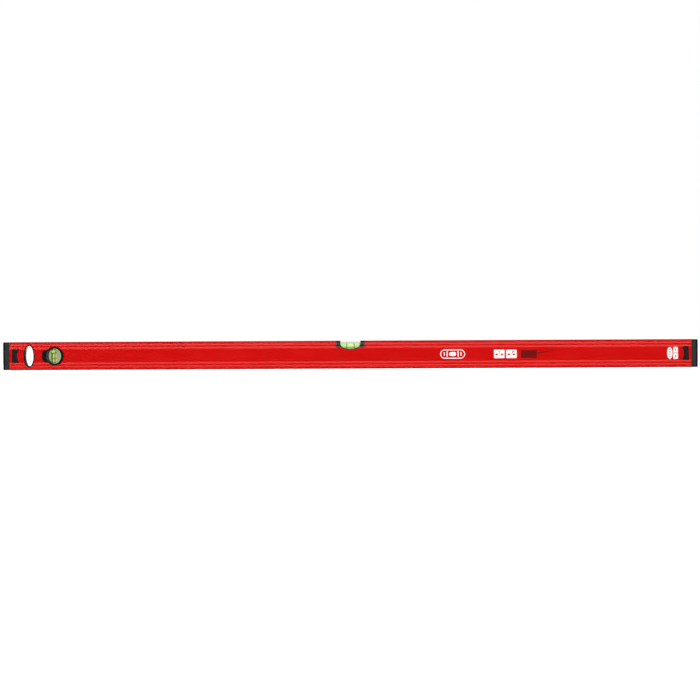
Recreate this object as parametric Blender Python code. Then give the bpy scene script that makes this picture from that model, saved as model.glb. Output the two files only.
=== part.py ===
"""A 120 cm box-section spirit level with a centre vial, a plumb vial, a hanging hole and pull-off end caps.

The frame has its origin at the middle of the bottom measuring face. +X runs along the level, the front face
looks to -Y, and +Z is up. All lengths are in metres.
"""

import math

import bmesh
import bpy
from mathutils import Vector

# ---- Driving dimensions ----------------------------------------------------------------------------------
LENGTH = 1.200
HEIGHT = 0.0485
MIDDLE = HEIGHT / 2
FIT = 0.0003  # clearance between pieces that sit in each other
SEAM = 0.00015  # clearance between pieces whose flat faces meet
STEP_BACK = 0.0001  # keeps two faces of one solid out of the same plane
REACH = 0.002  # how far a cutter passes a surface
THROUGH = 0.020  # half the length of a cutter that goes right through the section

# The extruded profile. Depths run inwards from either measuring face.
CAP_LENGTH = 0.011
PROFILE_END = LENGTH / 2 - CAP_LENGTH
HALF_WIDTH = 0.010
WEB_HALF_WIDTH = 0.0092
CORNER_RADIUS = 0.0034
RIB_OUTER = (0.0036, 0.0075)
RIB_OUTER_FALL = 0.00042
GROOVE = (0.00785, 0.00815)
GROOVE_HALF_WIDTH = 0.00925
RIB_INNER = (0.0085, 0.0126)
RIB_INNER_RISE = 0.00004  # how far the inner rib starts above the outer rib's end
RIB_CURVE = 0.65  # share of a rib's fall that grows with the square of the way across it
HOLLOW_HALF_WIDTH = 0.0077
HOLLOW_LOW = 0.0024
HOLLOW_RADIUS = 0.0015

# End caps and their catches
CAP_SHRINK = 0.0002
CAP_EDGE = 0.0003
BUMPER_LENGTH = 0.0027
BUMPER_EDGE = 0.0012
INSERT_LENGTH = 0.0247
INSERT_HALF_WIDTH = HOLLOW_HALF_WIDTH - FIT
INSERT_LOW = HOLLOW_LOW + FIT
INSERT_RAIL_HEIGHT = 0.0090
INSERT_WEB_HALF = 0.0015
INSERT_CHAMFER = 0.0010
INSERT_WALL = 0.0018
INSERT_CORE_RADIUS = 0.0010
INSERT_FLOOR = 0.0020  # solid length at the insert's outer end, and its depth in the collar
CROSS_WALL = 0.0030
CROSS_WALL_BURIED = 0.0010
PEG_RADIUS = 0.0020
PEG_LENGTH = 0.0040
PEG_OFFSET = 0.0130
CATCH_IN = 0.573
CATCH_OUT = 0.5845
CATCH_HALF_HEIGHT = 0.0118
TONGUE_HALF_CHORD = 0.0090
TONGUE_BULGE = 0.0030
CATCH_ROOT = PROFILE_END - INSERT_LENGTH
CATCH_PLATE = 0.0020
CATCH_PLATE_FACE = HOLLOW_HALF_WIDTH - FIT
CATCH_PAD_BURIED = 0.0005
CATCH_FACE = 0.0089

# Hanging hole
HANG_X = -0.5548
HANG_FLANGE = (0.0095, 0.0198)
HANG_HOLE = (0.0085, 0.0188)
HANG_SKIRT = (0.0082, 0.0185)
HANG_OPENING = (0.00735, 0.0176)

# Plumb vial
PLUMB_X = -0.5112
BEZEL_FACE = 0.0106
BEZEL_BACK = 0.0093
BEZEL_EDGE = 0.0004
BEZEL_RADIUS = 0.0160
RIB_CLEARANCE = 0.0001  # between a flange and the ribs that it follows
EAR_REACH = 0.0215
EAR_HALF_HEIGHT = 0.01025
EAR_RADIUS = 0.0040
HOLE_INSET = 0.0010
SKIRT_INSET = 0.0013
SKIRT_INNER_INSET = 0.0021
WINDOW_HALF = (0.0107, 0.0132)
WINDOW_SHIFT = 0.0007
RECESS_DEPTH = 0.0006
RECESS_HALF = (0.0013, 0.0070)
RECESS_RADIUS = 0.0011
RECESS_SHIFT = -0.0184
PLUMB_BLOCK_RADIUS = 0.0136
PLUMB_BLOCK_HALF = 0.0090
PLUMB_BORE_X = PLUMB_X - 0.0020
PLUMB_BORE = (0.0134, 0.0355)
PLUMB_BORE_RADIUS = 0.0045
PLUMB_PLUG_LOW = 0.0125
PLUMB_BUBBLE_LENGTH = 0.0082
PLUMB_RING_OFFSET = 0.0049

# Centre vial
SHOULDER_HALF = 0.0244
SHOULDER_DEPTH = 0.0120
VIAL_WINDOW_HALF = 0.01725
VIAL_WINDOW_SIDE = 0.0050
VIAL_WINDOW_DROP = 0.0092
VIAL_RIM = 0.0015
NOTCH_GAP = 0.0002
HOUSING_TOP_GAP = 0.0001
HOUSING_CORE = ((0.0192, -0.0075, 0.034), (0.0232, 0.0075, 0.046))
CARRIER_HALF = 0.0187
CARRIER_LOW = 0.0325
POCKET_HALF_WIDTH = 0.0064
POCKET_LOW = 0.0340
LEVEL_BLOCK_TOP = HEIGHT - 0.0018
LEVEL_BLOCK_HALF_WIDTH = 0.0088
LEVEL_BORE_Z = 0.0395
LEVEL_BORE_HALF = 0.0146
LEVEL_BORE_RADIUS = 0.0044
LEVEL_BUBBLE_LENGTH = 0.0114
LEVEL_BUBBLE_DEPTH = 0.0031
LEVEL_RING_OFFSET = 0.0066

# Both vials
BORE_CROWN = 0.00006
RING_WIDTH = 0.0009
RING_HEIGHT = 0.0003
RING_GAP = 0.00005
LIQUID_GAP = 0.00006
BUBBLE_GAP = 0.0001
BUBBLE_SHOULDER = 0.0006
BUBBLE_BELLY = 0.12  # how far the level bubble's lower side bulges, as a share of its depth
BUBBLE_ROOM = 0.0005  # how far the hollow for the level bubble breaks through the liquid's crown
MENISCUS = 0.0012
MENISCUS_SHARE = 0.97  # how much of a quarter round the bowl of the meniscus is
MENISCUS_CLEAR = 0.0005
MOUTH_OVERLAP = 0.0002  # how far a bore and its mouth run into each other
GROOVE_SLANT = 1e-7  # keeps the two edges of a groove's wall in order

CIRCLE_STEPS = 48
BORE_STEPS = 24
X_AXIS, Y_AXIS, Z_AXIS = 0, 1, 2

# Colour, roughness, metallic, alpha
MATERIALS = {
    "red_coat": ((0.60, 0.004, 0.003), 0.28, 0.0, 1.0),
    "grey_plastic": ((0.030, 0.030, 0.031), 0.55, 0.0, 1.0),
    "black_plastic": ((0.008, 0.008, 0.009), 0.45, 0.0, 1.0),
    "soft_rubber": ((0.010, 0.010, 0.010), 0.80, 0.0, 1.0),
    "clear_acrylic": ((0.88, 0.94, 0.80), 0.05, 0.0, 0.25),
    "vial_liquid": ((0.45, 0.75, 0.05), 0.05, 0.0, 0.60),
    "bubble_air": ((0.85, 0.95, 0.60), 0.02, 0.0, 0.30),
    "ring_black": ((0.010, 0.014, 0.008), 0.50, 0.0, 1.0),
}


# ---- Outlines: lists of (u, v) points --------------------------------------------------------------------
def ellipse(centre, half, steps=CIRCLE_STEPS):
    angles = [2 * math.pi * i / steps for i in range(steps)]
    return [(centre[0] + half[0] * math.cos(a), centre[1] + half[1] * math.sin(a)) for a in angles]


def rounded_box(low, high, radius, steps=5):
    corners = (
        (high[0] - radius, high[1] - radius, 0.0),
        (low[0] + radius, high[1] - radius, 0.5),
        (low[0] + radius, low[1] + radius, 1.0),
        (high[0] - radius, low[1] + radius, 1.5),
    )
    points = []
    for u, v, start in corners:
        for i in range(steps + 1):
            a = math.pi * (start + 0.5 * i / steps)
            points.append((u + radius * math.cos(a), v + radius * math.sin(a)))
    return points


def box_outline(low, high):
    return [(low[0], low[1]), (high[0], low[1]), (high[0], high[1]), (low[0], high[1])]


def rib(depths, first, last, steps=6):
    """A rib's surface between two depths: it falls from one half width to another, ever more steeply."""
    points = []
    for i in range(steps + 1):
        t = i / steps
        fall = (1 - RIB_CURVE) * t + RIB_CURVE * t * t
        points.append((first + (last - first) * fall, depths[0] + (depths[1] - depths[0]) * t))
    return points


def section_outline(grow=0.0):
    """The profile's outer outline as (y, z), with its sides moved out by grow."""
    quarter = []
    steps = 5
    inner = HALF_WIDTH - CORNER_RADIUS
    outer_end = HALF_WIDTH - RIB_OUTER_FALL
    for i in range(steps):
        a = 0.5 * math.pi * i / steps
        quarter.append((inner + CORNER_RADIUS * math.sin(a), CORNER_RADIUS * (1 - math.cos(a))))
    quarter += rib(RIB_OUTER, HALF_WIDTH, outer_end)
    quarter += [(GROOVE_HALF_WIDTH, depth) for depth in GROOVE]
    quarter += rib(RIB_INNER, outer_end + RIB_INNER_RISE, WEB_HALF_WIDTH)
    right = [(y + grow, z) for y, z in quarter]
    right += [(y + grow, HEIGHT - z) for y, z in reversed(quarter)]
    left = [(-y, z) for y, z in reversed(right)]
    return right + left


def bezel_outline(inset=0.0):
    """A ring with a side ear towards -X, as (x, z), pulled in by inset."""
    radius = BEZEL_RADIUS - inset
    half_height = EAR_HALF_HEIGHT - inset
    reach = EAR_REACH - inset
    corner = EAR_RADIUS - inset
    meet = math.pi - math.asin(half_height / radius)
    steps = CIRCLE_STEPS - 16
    points = []
    for i in range(steps + 1):
        a = -meet + 2 * meet * i / steps
        points.append((PLUMB_X + radius * math.cos(a), MIDDLE + radius * math.sin(a)))
    for side, start in ((1, 0.5), (-1, 1.0)):
        for i in range(6):
            a = math.pi * (start + 0.1 * i)
            u = PLUMB_X - reach + corner + corner * math.cos(a)
            points.append((u, MIDDLE + side * (half_height - corner) + corner * math.sin(a)))
    return points


def vial_window_outline(grow=0.0, top=HEIGHT):
    """A bathtub shape as (x, z): straight sides down to a half ellipse."""
    half = VIAL_WINDOW_HALF + grow
    drop = VIAL_WINDOW_DROP + grow
    steps = 28
    points = [(half, top), (-half, top)]
    for i in range(steps + 1):
        a = math.pi * (1 + i / steps)
        points.append((half * math.cos(a), HEIGHT - VIAL_WINDOW_SIDE + drop * math.sin(a)))
    return points


def housing_outline(grow, top):
    """The centre housing's silhouette as (x, z): two shoulders and the rim below the window."""
    half = VIAL_WINDOW_HALF + VIAL_RIM + grow
    drop = VIAL_WINDOW_DROP + VIAL_RIM + grow
    shoulder = SHOULDER_HALF + grow
    floor = HEIGHT - SHOULDER_DEPTH - grow
    start = math.asin((HEIGHT - VIAL_WINDOW_SIDE - floor) / drop)
    points = [(shoulder, top), (-shoulder, top), (-shoulder, floor)]
    steps = 22
    for i in range(steps + 1):
        a = math.pi + start + (math.pi - 2 * start) * i / steps
        points.append((half * math.cos(a), HEIGHT - VIAL_WINDOW_SIDE + drop * math.sin(a)))
    points.append((shoulder, floor))
    return points


def catch_outline(side, inset=0.0):
    """The catch window as (x, z): a box with a round tongue standing into it from the inboard edge."""
    radius = (TONGUE_HALF_CHORD**2 + TONGUE_BULGE**2) / (2 * TONGUE_BULGE)
    chord_angle = math.asin(TONGUE_HALF_CHORD / radius)
    centre = CATCH_IN + TONGUE_BULGE - radius
    low, high = MIDDLE - CATCH_HALF_HEIGHT + inset, MIDDLE + CATCH_HALF_HEIGHT - inset
    points = [(CATCH_OUT - inset, high), (CATCH_IN + inset, high)]
    steps = 12
    for i in range(steps + 1):
        a = chord_angle * (1 - 2 * i / steps)
        reach = radius + inset
        points.append((centre + reach * math.cos(a), MIDDLE + reach * math.sin(a)))
    points += [(CATCH_IN + inset, low), (CATCH_OUT - inset, low)]
    return [(side * x, z) for x, z in points]


# ---- Solids ----------------------------------------------------------------------------------------------
def add_object(name, bm, material=None):
    """Links the mesh as an object. Without a material it is only a tool for another object's modifier."""
    bmesh.ops.recalc_face_normals(bm, faces=bm.faces)
    mesh = bpy.data.meshes.new(name)
    bm.to_mesh(mesh)
    bm.free()
    obj = bpy.data.objects.new(name, mesh)
    bpy.context.scene.collection.objects.link(obj)
    if material:
        mesh.materials.append(bpy.data.materials[material])
    else:
        obj.hide_render = True
        obj.display_type = "WIRE"
    return obj


def place(u, v, w, axis):
    """The point with outline coordinates (u, v) at height w along the axis."""
    return ((w, u, v), (u, w, v), (u, v, w))[axis]


def prism(name, outline, axis, low, high, material=None):
    bm = bmesh.new()
    base = bm.faces.new([bm.verts.new(place(u, v, low, axis)) for u, v in outline])
    grown = bmesh.ops.extrude_face_region(bm, geom=[base])
    travel = Vector(place(0, 0, high - low, axis))
    verts = [g for g in grown["geom"] if isinstance(g, bmesh.types.BMVert)]
    bmesh.ops.translate(bm, verts=verts, vec=travel)
    return add_object(name, bm, material)


def turned(name, profile, axis, centre, material=None, steps=BORE_STEPS):
    """A solid turned about an axis. The profile is (along, radius); it starts and ends on the axis."""
    bm = bmesh.new()
    rings = []
    for along, radius in profile:
        count = steps if radius > 0 else 1
        ring = []
        for i in range(count):
            a = 2 * math.pi * i / steps
            offset = place(radius * math.cos(a), radius * math.sin(a), along, axis)
            ring.append(bm.verts.new([centre[k] + offset[k] for k in range(3)]))
        rings.append(ring)
    join_rings(bm, rings)
    obj = add_object(name, bm, material)
    smooth(obj)
    return obj


def join_rings(bm, rings):
    """Skins a row of rings; a ring of one vertex is a pole."""
    for first, second in zip(rings, rings[1:]):
        steps = max(len(first), len(second))
        for i in range(steps):
            k = (i + 1) % steps
            corners = []
            for ring, index in ((first, i), (first, k), (second, k), (second, i)):
                vert = ring[index % len(ring)]
                if vert not in corners:
                    corners.append(vert)
            bm.faces.new(corners)


def smooth(obj):
    obj.data.shade_smooth()
    obj.data.set_sharp_from_angle(angle=math.radians(35))


def combine(target, tool, operation):
    modifier = target.modifiers.new(tool.name, "BOOLEAN")
    modifier.operation = operation
    modifier.solver = "EXACT"
    modifier.object = tool


def cut(target, *tools):
    for tool in tools:
        combine(target, tool, "DIFFERENCE")


def bevel(obj, width, segments=2):
    modifier = obj.modifiers.new("edge_radius", "BEVEL")
    modifier.width = width
    modifier.segments = segments
    modifier.limit_method = "ANGLE"
    modifier.angle_limit = math.radians(50)


# ---- Profile ---------------------------------------------------------------------------------------------
def make_profile():
    profile = prism("profile", section_outline(), X_AXIS, -PROFILE_END, PROFILE_END, "red_coat")
    past_end = PROFILE_END + REACH
    low = (-HOLLOW_HALF_WIDTH, HOLLOW_LOW)
    high = (HOLLOW_HALF_WIDTH, HEIGHT - HOLLOW_LOW)
    cut(profile, prism("hollow_tool", rounded_box(low, high, HOLLOW_RADIUS), X_AXIS, -past_end, past_end))
    openings = {
        "left_catch_tool": catch_outline(-1),
        "right_catch_tool": catch_outline(1),
        "hang_hole_tool": ellipse((HANG_X, MIDDLE), HANG_HOLE),
        "plumb_hole_tool": bezel_outline(HOLE_INSET),
        "notch_tool": housing_outline(NOTCH_GAP, HEIGHT + REACH),
    }
    for name, outline in openings.items():
        cut(profile, prism(name, outline, Y_AXIS, -THROUGH, THROUGH))


# ---- End caps --------------------------------------------------------------------------------------------
def make_cap(side_name, side):
    """A collar outside the profile, an I-shaped insert inside it, a soft bumper and two catches."""
    face = PROFILE_END + SEAM
    collar_end = LENGTH / 2 - BUMPER_LENGTH - SEAM
    outline = cap_outline()
    body = prism(f"{side_name}_cap_body", outline, X_AXIS, side * face, side * collar_end, "grey_plastic")
    bevel(body, CAP_EDGE)
    combine(body, make_insert(side_name, side), "UNION")
    bumper_start, bumper_end = side * (collar_end + SEAM), side * LENGTH / 2
    bumper = prism(f"{side_name}_cap_bumper", outline, X_AXIS, bumper_start, bumper_end, "soft_rubber")
    bevel(bumper, BUMPER_EDGE, 4)
    start = collar_end + SEAM + BUMPER_LENGTH / 2
    peg_end = collar_end - PEG_LENGTH
    for level, sign in (("upper", 1), ("lower", -1)):
        centre = (0.0, MIDDLE + sign * PEG_OFFSET)
        peg = ellipse(centre, (PEG_RADIUS, PEG_RADIUS), 16)
        socket_radius = PEG_RADIUS + FIT
        socket = ellipse(centre, (socket_radius, socket_radius), 16)
        combine(bumper, prism(f"{side_name}_{level}_peg", peg, X_AXIS, side * start, side * peg_end), "UNION")
        socket_end = peg_end - FIT
        cut(body, prism(f"{side_name}_{level}_socket", socket, X_AXIS, side * start, side * socket_end))
    for face_name, face_side in (("front", -1), ("back", 1)):
        make_catch(f"{side_name}_latch_{face_name}", side, face_side)


def cap_outline():
    half_width = HALF_WIDTH - CAP_SHRINK
    return rounded_box((-half_width, CAP_SHRINK), (half_width, HEIGHT - CAP_SHRINK), CORNER_RADIUS)


def make_insert(side_name, side):
    """Two rails and a web, with a cross wall that carries the roots of the catches."""
    rail_top = INSERT_LOW + INSERT_RAIL_HEIGHT
    half, web, chamfer = INSERT_HALF_WIDTH, INSERT_WEB_HALF, INSERT_CHAMFER
    lower = [(-web, rail_top), (-half, rail_top), (-half, INSERT_LOW + chamfer), (chamfer - half, INSERT_LOW)]
    lower += [(-y, z) for y, z in reversed(lower)]
    upper = [(y, HEIGHT - z) for y, z in reversed(lower)]
    outline = lower + upper
    buried = PROFILE_END + INSERT_FLOOR
    insert = prism(f"{side_name}_insert", outline, X_AXIS, side * CATCH_ROOT, side * buried)
    wall_half = CATCH_PLATE_FACE - CATCH_PLATE - FIT
    wall_low = rail_top - CROSS_WALL_BURIED
    wall = box_outline((-wall_half, wall_low), (wall_half, HEIGHT - wall_low))
    wall_start = CATCH_ROOT + STEP_BACK
    wall_end = CATCH_ROOT + CROSS_WALL
    combine(insert, prism(f"{side_name}_wall", wall, X_AXIS, side * wall_start, side * wall_end), "UNION")
    low = (-half + INSERT_WALL, INSERT_LOW + INSERT_WALL)
    high = (half - INSERT_WALL, rail_top - INSERT_WALL)
    core = rounded_box(low, high, INSERT_CORE_RADIUS, 2)
    mirrored = [(y, HEIGHT - z) for y, z in core]
    core_start, core_end = side * (CATCH_ROOT - REACH), side * (PROFILE_END - INSERT_FLOOR)
    for level, points in (("lower", core), ("upper", mirrored)):
        cut(insert, prism(f"{side_name}_{level}_core", points, X_AXIS, core_start, core_end))
    return insert


def make_catch(name, side, face_side):
    """A plate that flexes about its inboard root, with the pad that fills the catch window."""
    pad_back = face_side * (CATCH_PLATE_FACE - CATCH_PAD_BURIED)
    pad = prism(name, catch_outline(side, FIT), Y_AXIS, pad_back, face_side * CATCH_FACE, "black_plastic")
    half_height = CATCH_HALF_HEIGHT - FIT
    start, end = side * (CATCH_ROOT + STEP_BACK), side * (CATCH_OUT - FIT)
    plate = box_outline((start, MIDDLE - half_height), (end, MIDDLE + half_height))
    back = face_side * (CATCH_PLATE_FACE - CATCH_PLATE)
    combine(pad, prism(f"{name}_plate", plate, Y_AXIS, back, face_side * CATCH_PLATE_FACE), "UNION")


# ---- Flanged inserts in the webs -------------------------------------------------------------------------
def make_flanged_half(name, face_side, flange, skirt, relief):
    """A flange that follows the ribs of the profile, and a skirt down to the middle of the section."""
    half = prism(name, flange, Y_AXIS, face_side * BEZEL_BACK, face_side * BEZEL_FACE, "black_plastic")
    bevel(half, BEZEL_EDGE)
    cut(half, relief)
    skirt_start, skirt_end = face_side * SEAM, face_side * (BEZEL_FACE - BEZEL_EDGE)
    combine(half, prism(f"{name}_skirt", skirt, Y_AXIS, skirt_start, skirt_end), "UNION")
    return half


def make_hang_liner(face_name, face_side, relief):
    centre = (HANG_X, MIDDLE)
    name = f"hang_liner_{face_name}"
    skirt = ellipse(centre, HANG_SKIRT)
    liner = make_flanged_half(name, face_side, ellipse(centre, HANG_FLANGE), skirt, relief)
    opening = ellipse(centre, HANG_OPENING)
    cut(liner, prism(f"{name}_opening", opening, Y_AXIS, -face_side * REACH, face_side * THROUGH))


def make_plumb_bezel(face_name, face_side, relief):
    name = f"plumb_bezel_{face_name}"
    bezel = make_flanged_half(name, face_side, bezel_outline(), bezel_outline(SKIRT_INSET), relief)
    inside = face_side * (BEZEL_BACK - STEP_BACK)
    hollow = bezel_outline(SKIRT_INNER_INSET)
    window = ellipse((PLUMB_X + WINDOW_SHIFT, MIDDLE), WINDOW_HALF)
    recess_centre = PLUMB_X + RECESS_SHIFT
    low = (recess_centre - RECESS_HALF[0], MIDDLE - RECESS_HALF[1])
    high = (recess_centre + RECESS_HALF[0], MIDDLE + RECESS_HALF[1])
    recess = rounded_box(low, high, RECESS_RADIUS)
    recess_floor = face_side * (BEZEL_FACE - RECESS_DEPTH)
    beyond = face_side * THROUGH
    cut(
        bezel,
        prism(f"{name}_inside", hollow, Y_AXIS, -face_side * REACH, inside),
        prism(f"{name}_window", window, Y_AXIS, face_side * REACH, beyond),
        prism(f"{name}_recess", recess, Y_AXIS, recess_floor, beyond),
    )


# ---- Vials -----------------------------------------------------------------------------------------------
def bore_radius(along, half, radius):
    """A barrel bore: widest at the middle, narrower by the crown at the ends."""
    return radius - BORE_CROWN * (along / half) ** 2


def bore_profile(half, radius, ring_offset, inset, with_grooves):
    """The bore as (along, radius), pulled in by inset, with a groove for each reading ring or without."""
    points = []
    stations = 6
    for i in range(stations + 1):
        along = half * (2 * i / stations - 1)
        points.append((along, bore_radius(along, half, radius) - inset))
    if with_grooves:
        outer = radius + RING_HEIGHT
        for sign in (-1, 1):
            low = sign * ring_offset - RING_WIDTH / 2 - RING_GAP
            high = sign * ring_offset + RING_WIDTH / 2 + RING_GAP
            wall = bore_radius(ring_offset, half, radius) - inset
            points = [p for p in points if not low <= p[0] <= high]
            points += [(low, wall), (low + GROOVE_SLANT, outer), (high - GROOVE_SLANT, outer), (high, wall)]
        points.sort()
    return points


def make_ring(name, axis, centre, radius):
    """A reading ring that sits in its groove around the bore."""
    inner, outer = radius + RING_GAP, radius + RING_HEIGHT - RING_GAP
    half = RING_WIDTH / 2
    corners = [(-half, inner), (half, inner), (half, outer), (-half, outer)]
    bm = bmesh.new()
    rows = []
    for along, reach in corners:
        row = []
        for i in range(BORE_STEPS):
            a = 2 * math.pi * i / BORE_STEPS
            offset = place(reach * math.cos(a), reach * math.sin(a), along, axis)
            row.append(bm.verts.new([centre[k] + offset[k] for k in range(3)]))
        rows.append(row)
    join_rings(bm, rows + [rows[0]])
    smooth(add_object(name, bm, "ring_black"))


def make_plumb_vial():
    half = (PLUMB_BORE[1] - PLUMB_BORE[0]) / 2
    centre = (PLUMB_BORE_X, 0.0, PLUMB_BORE[0] + half)
    block = prism("plumb_vial_block", ellipse((PLUMB_X, MIDDLE), (PLUMB_BLOCK_RADIUS, PLUMB_BLOCK_RADIUS)),
                  Y_AXIS, -PLUMB_BLOCK_HALF, PLUMB_BLOCK_HALF, "clear_acrylic")
    bore = bore_profile(half, PLUMB_BORE_RADIUS, PLUMB_RING_OFFSET, 0.0, True)
    closed = [(bore[0][0], 0.0)] + bore + [(bore[-1][0], 0.0)]
    cut(block, turned("plumb_bore_tool", closed, Z_AXIS, centre))
    mouth = PLUMB_BORE_RADIUS - BORE_CROWN
    mouth_outline = ellipse((PLUMB_BORE_X, 0.0), (mouth, mouth), BORE_STEPS)
    below = MIDDLE - PLUMB_BLOCK_RADIUS - REACH
    cut(block, prism("plumb_mouth_tool", mouth_outline, Z_AXIS, below, PLUMB_BORE[0] + MOUTH_OVERLAP))
    plug_radius = mouth - LIQUID_GAP
    plug_outline = ellipse((PLUMB_BORE_X, 0.0), (plug_radius, plug_radius), BORE_STEPS)
    prism("plumb_plug", plug_outline, Z_AXIS, PLUMB_PLUG_LOW, PLUMB_BORE[0] - LIQUID_GAP, "clear_acrylic")
    for level, sign in (("upper", 1), ("lower", -1)):
        ring_centre = (centre[0], centre[1], centre[2] + sign * PLUMB_RING_OFFSET)
        make_ring(f"plumb_ring_{level}", Z_AXIS, ring_centre, PLUMB_BORE_RADIUS)
    make_plumb_liquid(half, centre)


def meniscus(bottom, radius, steps=5):
    """The bowl where bubble and liquid meet, as (along, radius) from the axis out."""
    points = []
    for i in range(steps + 1):
        t = i / steps
        points.append((bottom + MENISCUS * (1 - math.sqrt(1 - (MENISCUS_SHARE * t) ** 2)), radius * t))
    return points


def make_plumb_liquid(half, centre):
    """At rest the bubble stands at the upper end of the bore, over the liquid's bowl-shaped surface."""
    radius = PLUMB_BORE_RADIUS - BORE_CROWN - BUBBLE_GAP
    top = half - LIQUID_GAP
    bubble_bottom = top - PLUMB_BUBBLE_LENGTH
    bowl = meniscus(bubble_bottom, radius)
    dome = []
    for a in (0.0, math.pi / 4, math.pi / 2):
        fall, pull = BUBBLE_SHOULDER * (1 - math.sin(a)), BUBBLE_SHOULDER * (1 - math.cos(a))
        dome.append((top - fall, radius - pull))
    turned("plumb_bubble", bowl + dome + [(top, 0.0)], Z_AXIS, centre, "bubble_air")
    surface = meniscus(bubble_bottom - BUBBLE_GAP, radius)
    wall = bore_profile(half, PLUMB_BORE_RADIUS, PLUMB_RING_OFFSET, LIQUID_GAP, False)
    side = [(along, reach) for along, reach in wall if along < surface[-1][0] - MENISCUS_CLEAR]
    bottom = side[0][0] + LIQUID_GAP
    profile = [(bottom, 0.0), (bottom, side[0][1])] + side[1:] + list(reversed(surface))
    turned("plumb_fluid", profile, Z_AXIS, centre, "vial_liquid")


def make_level_vial():
    """A core that fills the housing's pocket, with faces that stand into the round-bottomed windows."""
    centre = (0.0, 0.0, LEVEL_BORE_Z)
    core_half = VIAL_WINDOW_HALF - NOTCH_GAP
    core = box_outline((-core_half, POCKET_LOW + NOTCH_GAP), (core_half, LEVEL_BLOCK_TOP))
    core_half_width = POCKET_HALF_WIDTH - NOTCH_GAP
    block = prism("level_vial_block", core, Y_AXIS, -core_half_width, core_half_width, "clear_acrylic")
    faces = vial_window_outline(-NOTCH_GAP, LEVEL_BLOCK_TOP)
    face_half_width = LEVEL_BLOCK_HALF_WIDTH
    combine(block, prism("level_faces", faces, Y_AXIS, -face_half_width, face_half_width), "UNION")
    bore = bore_profile(LEVEL_BORE_HALF, LEVEL_BORE_RADIUS, LEVEL_RING_OFFSET, 0.0, True)
    closed = [(bore[0][0], 0.0)] + bore + [(bore[-1][0], 0.0)]
    cut(block, turned("level_bore_tool", closed, X_AXIS, centre))
    mouth = LEVEL_BORE_RADIUS - BORE_CROWN
    mouth_outline = ellipse((0.0, LEVEL_BORE_Z), (mouth, mouth), BORE_STEPS)
    mouth_start = LEVEL_BORE_HALF - MOUTH_OVERLAP
    cut(block, prism("level_mouth_tool", mouth_outline, X_AXIS, mouth_start, VIAL_WINDOW_HALF + REACH))
    plug_radius = mouth - LIQUID_GAP
    plug_outline = ellipse((0.0, LEVEL_BORE_Z), (plug_radius, plug_radius), BORE_STEPS)
    prism("level_plug", plug_outline, X_AXIS, LEVEL_BORE_HALF + LIQUID_GAP, core_half, "clear_acrylic")
    for side_name, sign in (("left", -1), ("right", 1)):
        make_ring(f"level_ring_{side_name}", X_AXIS, (sign * LEVEL_RING_OFFSET, 0.0, LEVEL_BORE_Z),
                  LEVEL_BORE_RADIUS)
    make_level_liquid(centre)


def level_bubble_mesh(name, swell, over, material=None):
    """The bubble under the crown of the bore: a row of round segments that close to a point at both ends.

    Swell moves its lower surface and ends out, and over raises its crown.
    """
    bm = bmesh.new()
    bubble_radius = LEVEL_BORE_RADIUS - BORE_CROWN - BUBBLE_GAP
    radius = bubble_radius + over
    half = LEVEL_BUBBLE_LENGTH / 2 + swell
    stations, around = 12, 7
    rings = []
    for i in range(stations + 1):
        along = -half * math.cos(math.pi * i / stations)
        fullness = math.sqrt(max(0.0, 1 - (along / half) ** 2))
        depth = (LEVEL_BUBBLE_DEPTH + swell) * fullness
        if i in (0, stations):
            rings.append([bm.verts.new((along, 0.0, LEVEL_BORE_Z + radius))])
            continue
        reach = math.acos((bubble_radius - depth) / radius)
        arc = [(radius * math.sin(a), radius * math.cos(a))
               for a in (reach * (1 - 2 * k / around) for k in range(around + 1))]
        width, chord = arc[0]
        for k in range(1, around):
            t = 1 - 2 * k / around
            arc.append((-width * t, chord - BUBBLE_BELLY * depth * (1 - t * t)))
        rings.append([bm.verts.new((along, y, LEVEL_BORE_Z + z)) for y, z in arc])
    join_rings(bm, rings)
    return add_object(name, bm, material)


def make_level_liquid(centre):
    smooth(level_bubble_mesh("level_bubble", 0.0, 0.0, "bubble_air"))
    wall = bore_profile(LEVEL_BORE_HALF, LEVEL_BORE_RADIUS, LEVEL_RING_OFFSET, LIQUID_GAP, False)
    start, end = wall[0][0] + LIQUID_GAP, wall[-1][0] - LIQUID_GAP
    profile = [(start, 0.0), (start, wall[0][1])] + wall[1:-1] + [(end, wall[-1][1]), (end, 0.0)]
    fluid = turned("level_fluid", profile, X_AXIS, centre, "vial_liquid")
    cut(fluid, level_bubble_mesh("bubble_room_tool", BUBBLE_GAP, BUBBLE_ROOM))


def make_level_housing():
    """The black insert in the top notch: its shoulders carry the profile's ribs on, its rim holds the block."""
    top = HEIGHT - HOUSING_TOP_GAP
    housing = prism("level_housing", housing_outline(0.0, top), Y_AXIS, -THROUGH, THROUGH, "black_plastic")
    section_half = SHOULDER_HALF + REACH
    section = prism("housing_section_tool", section_outline(), X_AXIS, -section_half, section_half)
    combine(housing, section, "INTERSECT")
    carrier = box_outline((-CARRIER_HALF, CARRIER_LOW), (CARRIER_HALF, top - STEP_BACK))
    carrier_half_width = HOLLOW_HALF_WIDTH - FIT
    combine(housing, prism("housing_carrier", carrier, Y_AXIS, -carrier_half_width, carrier_half_width), "UNION")
    above = HEIGHT + REACH
    window = vial_window_outline(0.0, above)
    pocket = box_outline((-VIAL_WINDOW_HALF, POCKET_LOW), (VIAL_WINDOW_HALF, above))
    cut(
        housing,
        prism("vial_window_tool", window, Y_AXIS, -THROUGH, THROUGH),
        prism("vial_pocket_tool", pocket, Y_AXIS, -POCKET_HALF_WIDTH, POCKET_HALF_WIDTH),
    )
    low, high = HOUSING_CORE
    for side_name, sign in (("left", -1), ("right", 1)):
        core = box_outline((sign * low[0], low[2]), (sign * high[0], high[2]))
        cut(housing, prism(f"housing_core_{side_name}", core, Y_AXIS, low[1], high[1]))


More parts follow.
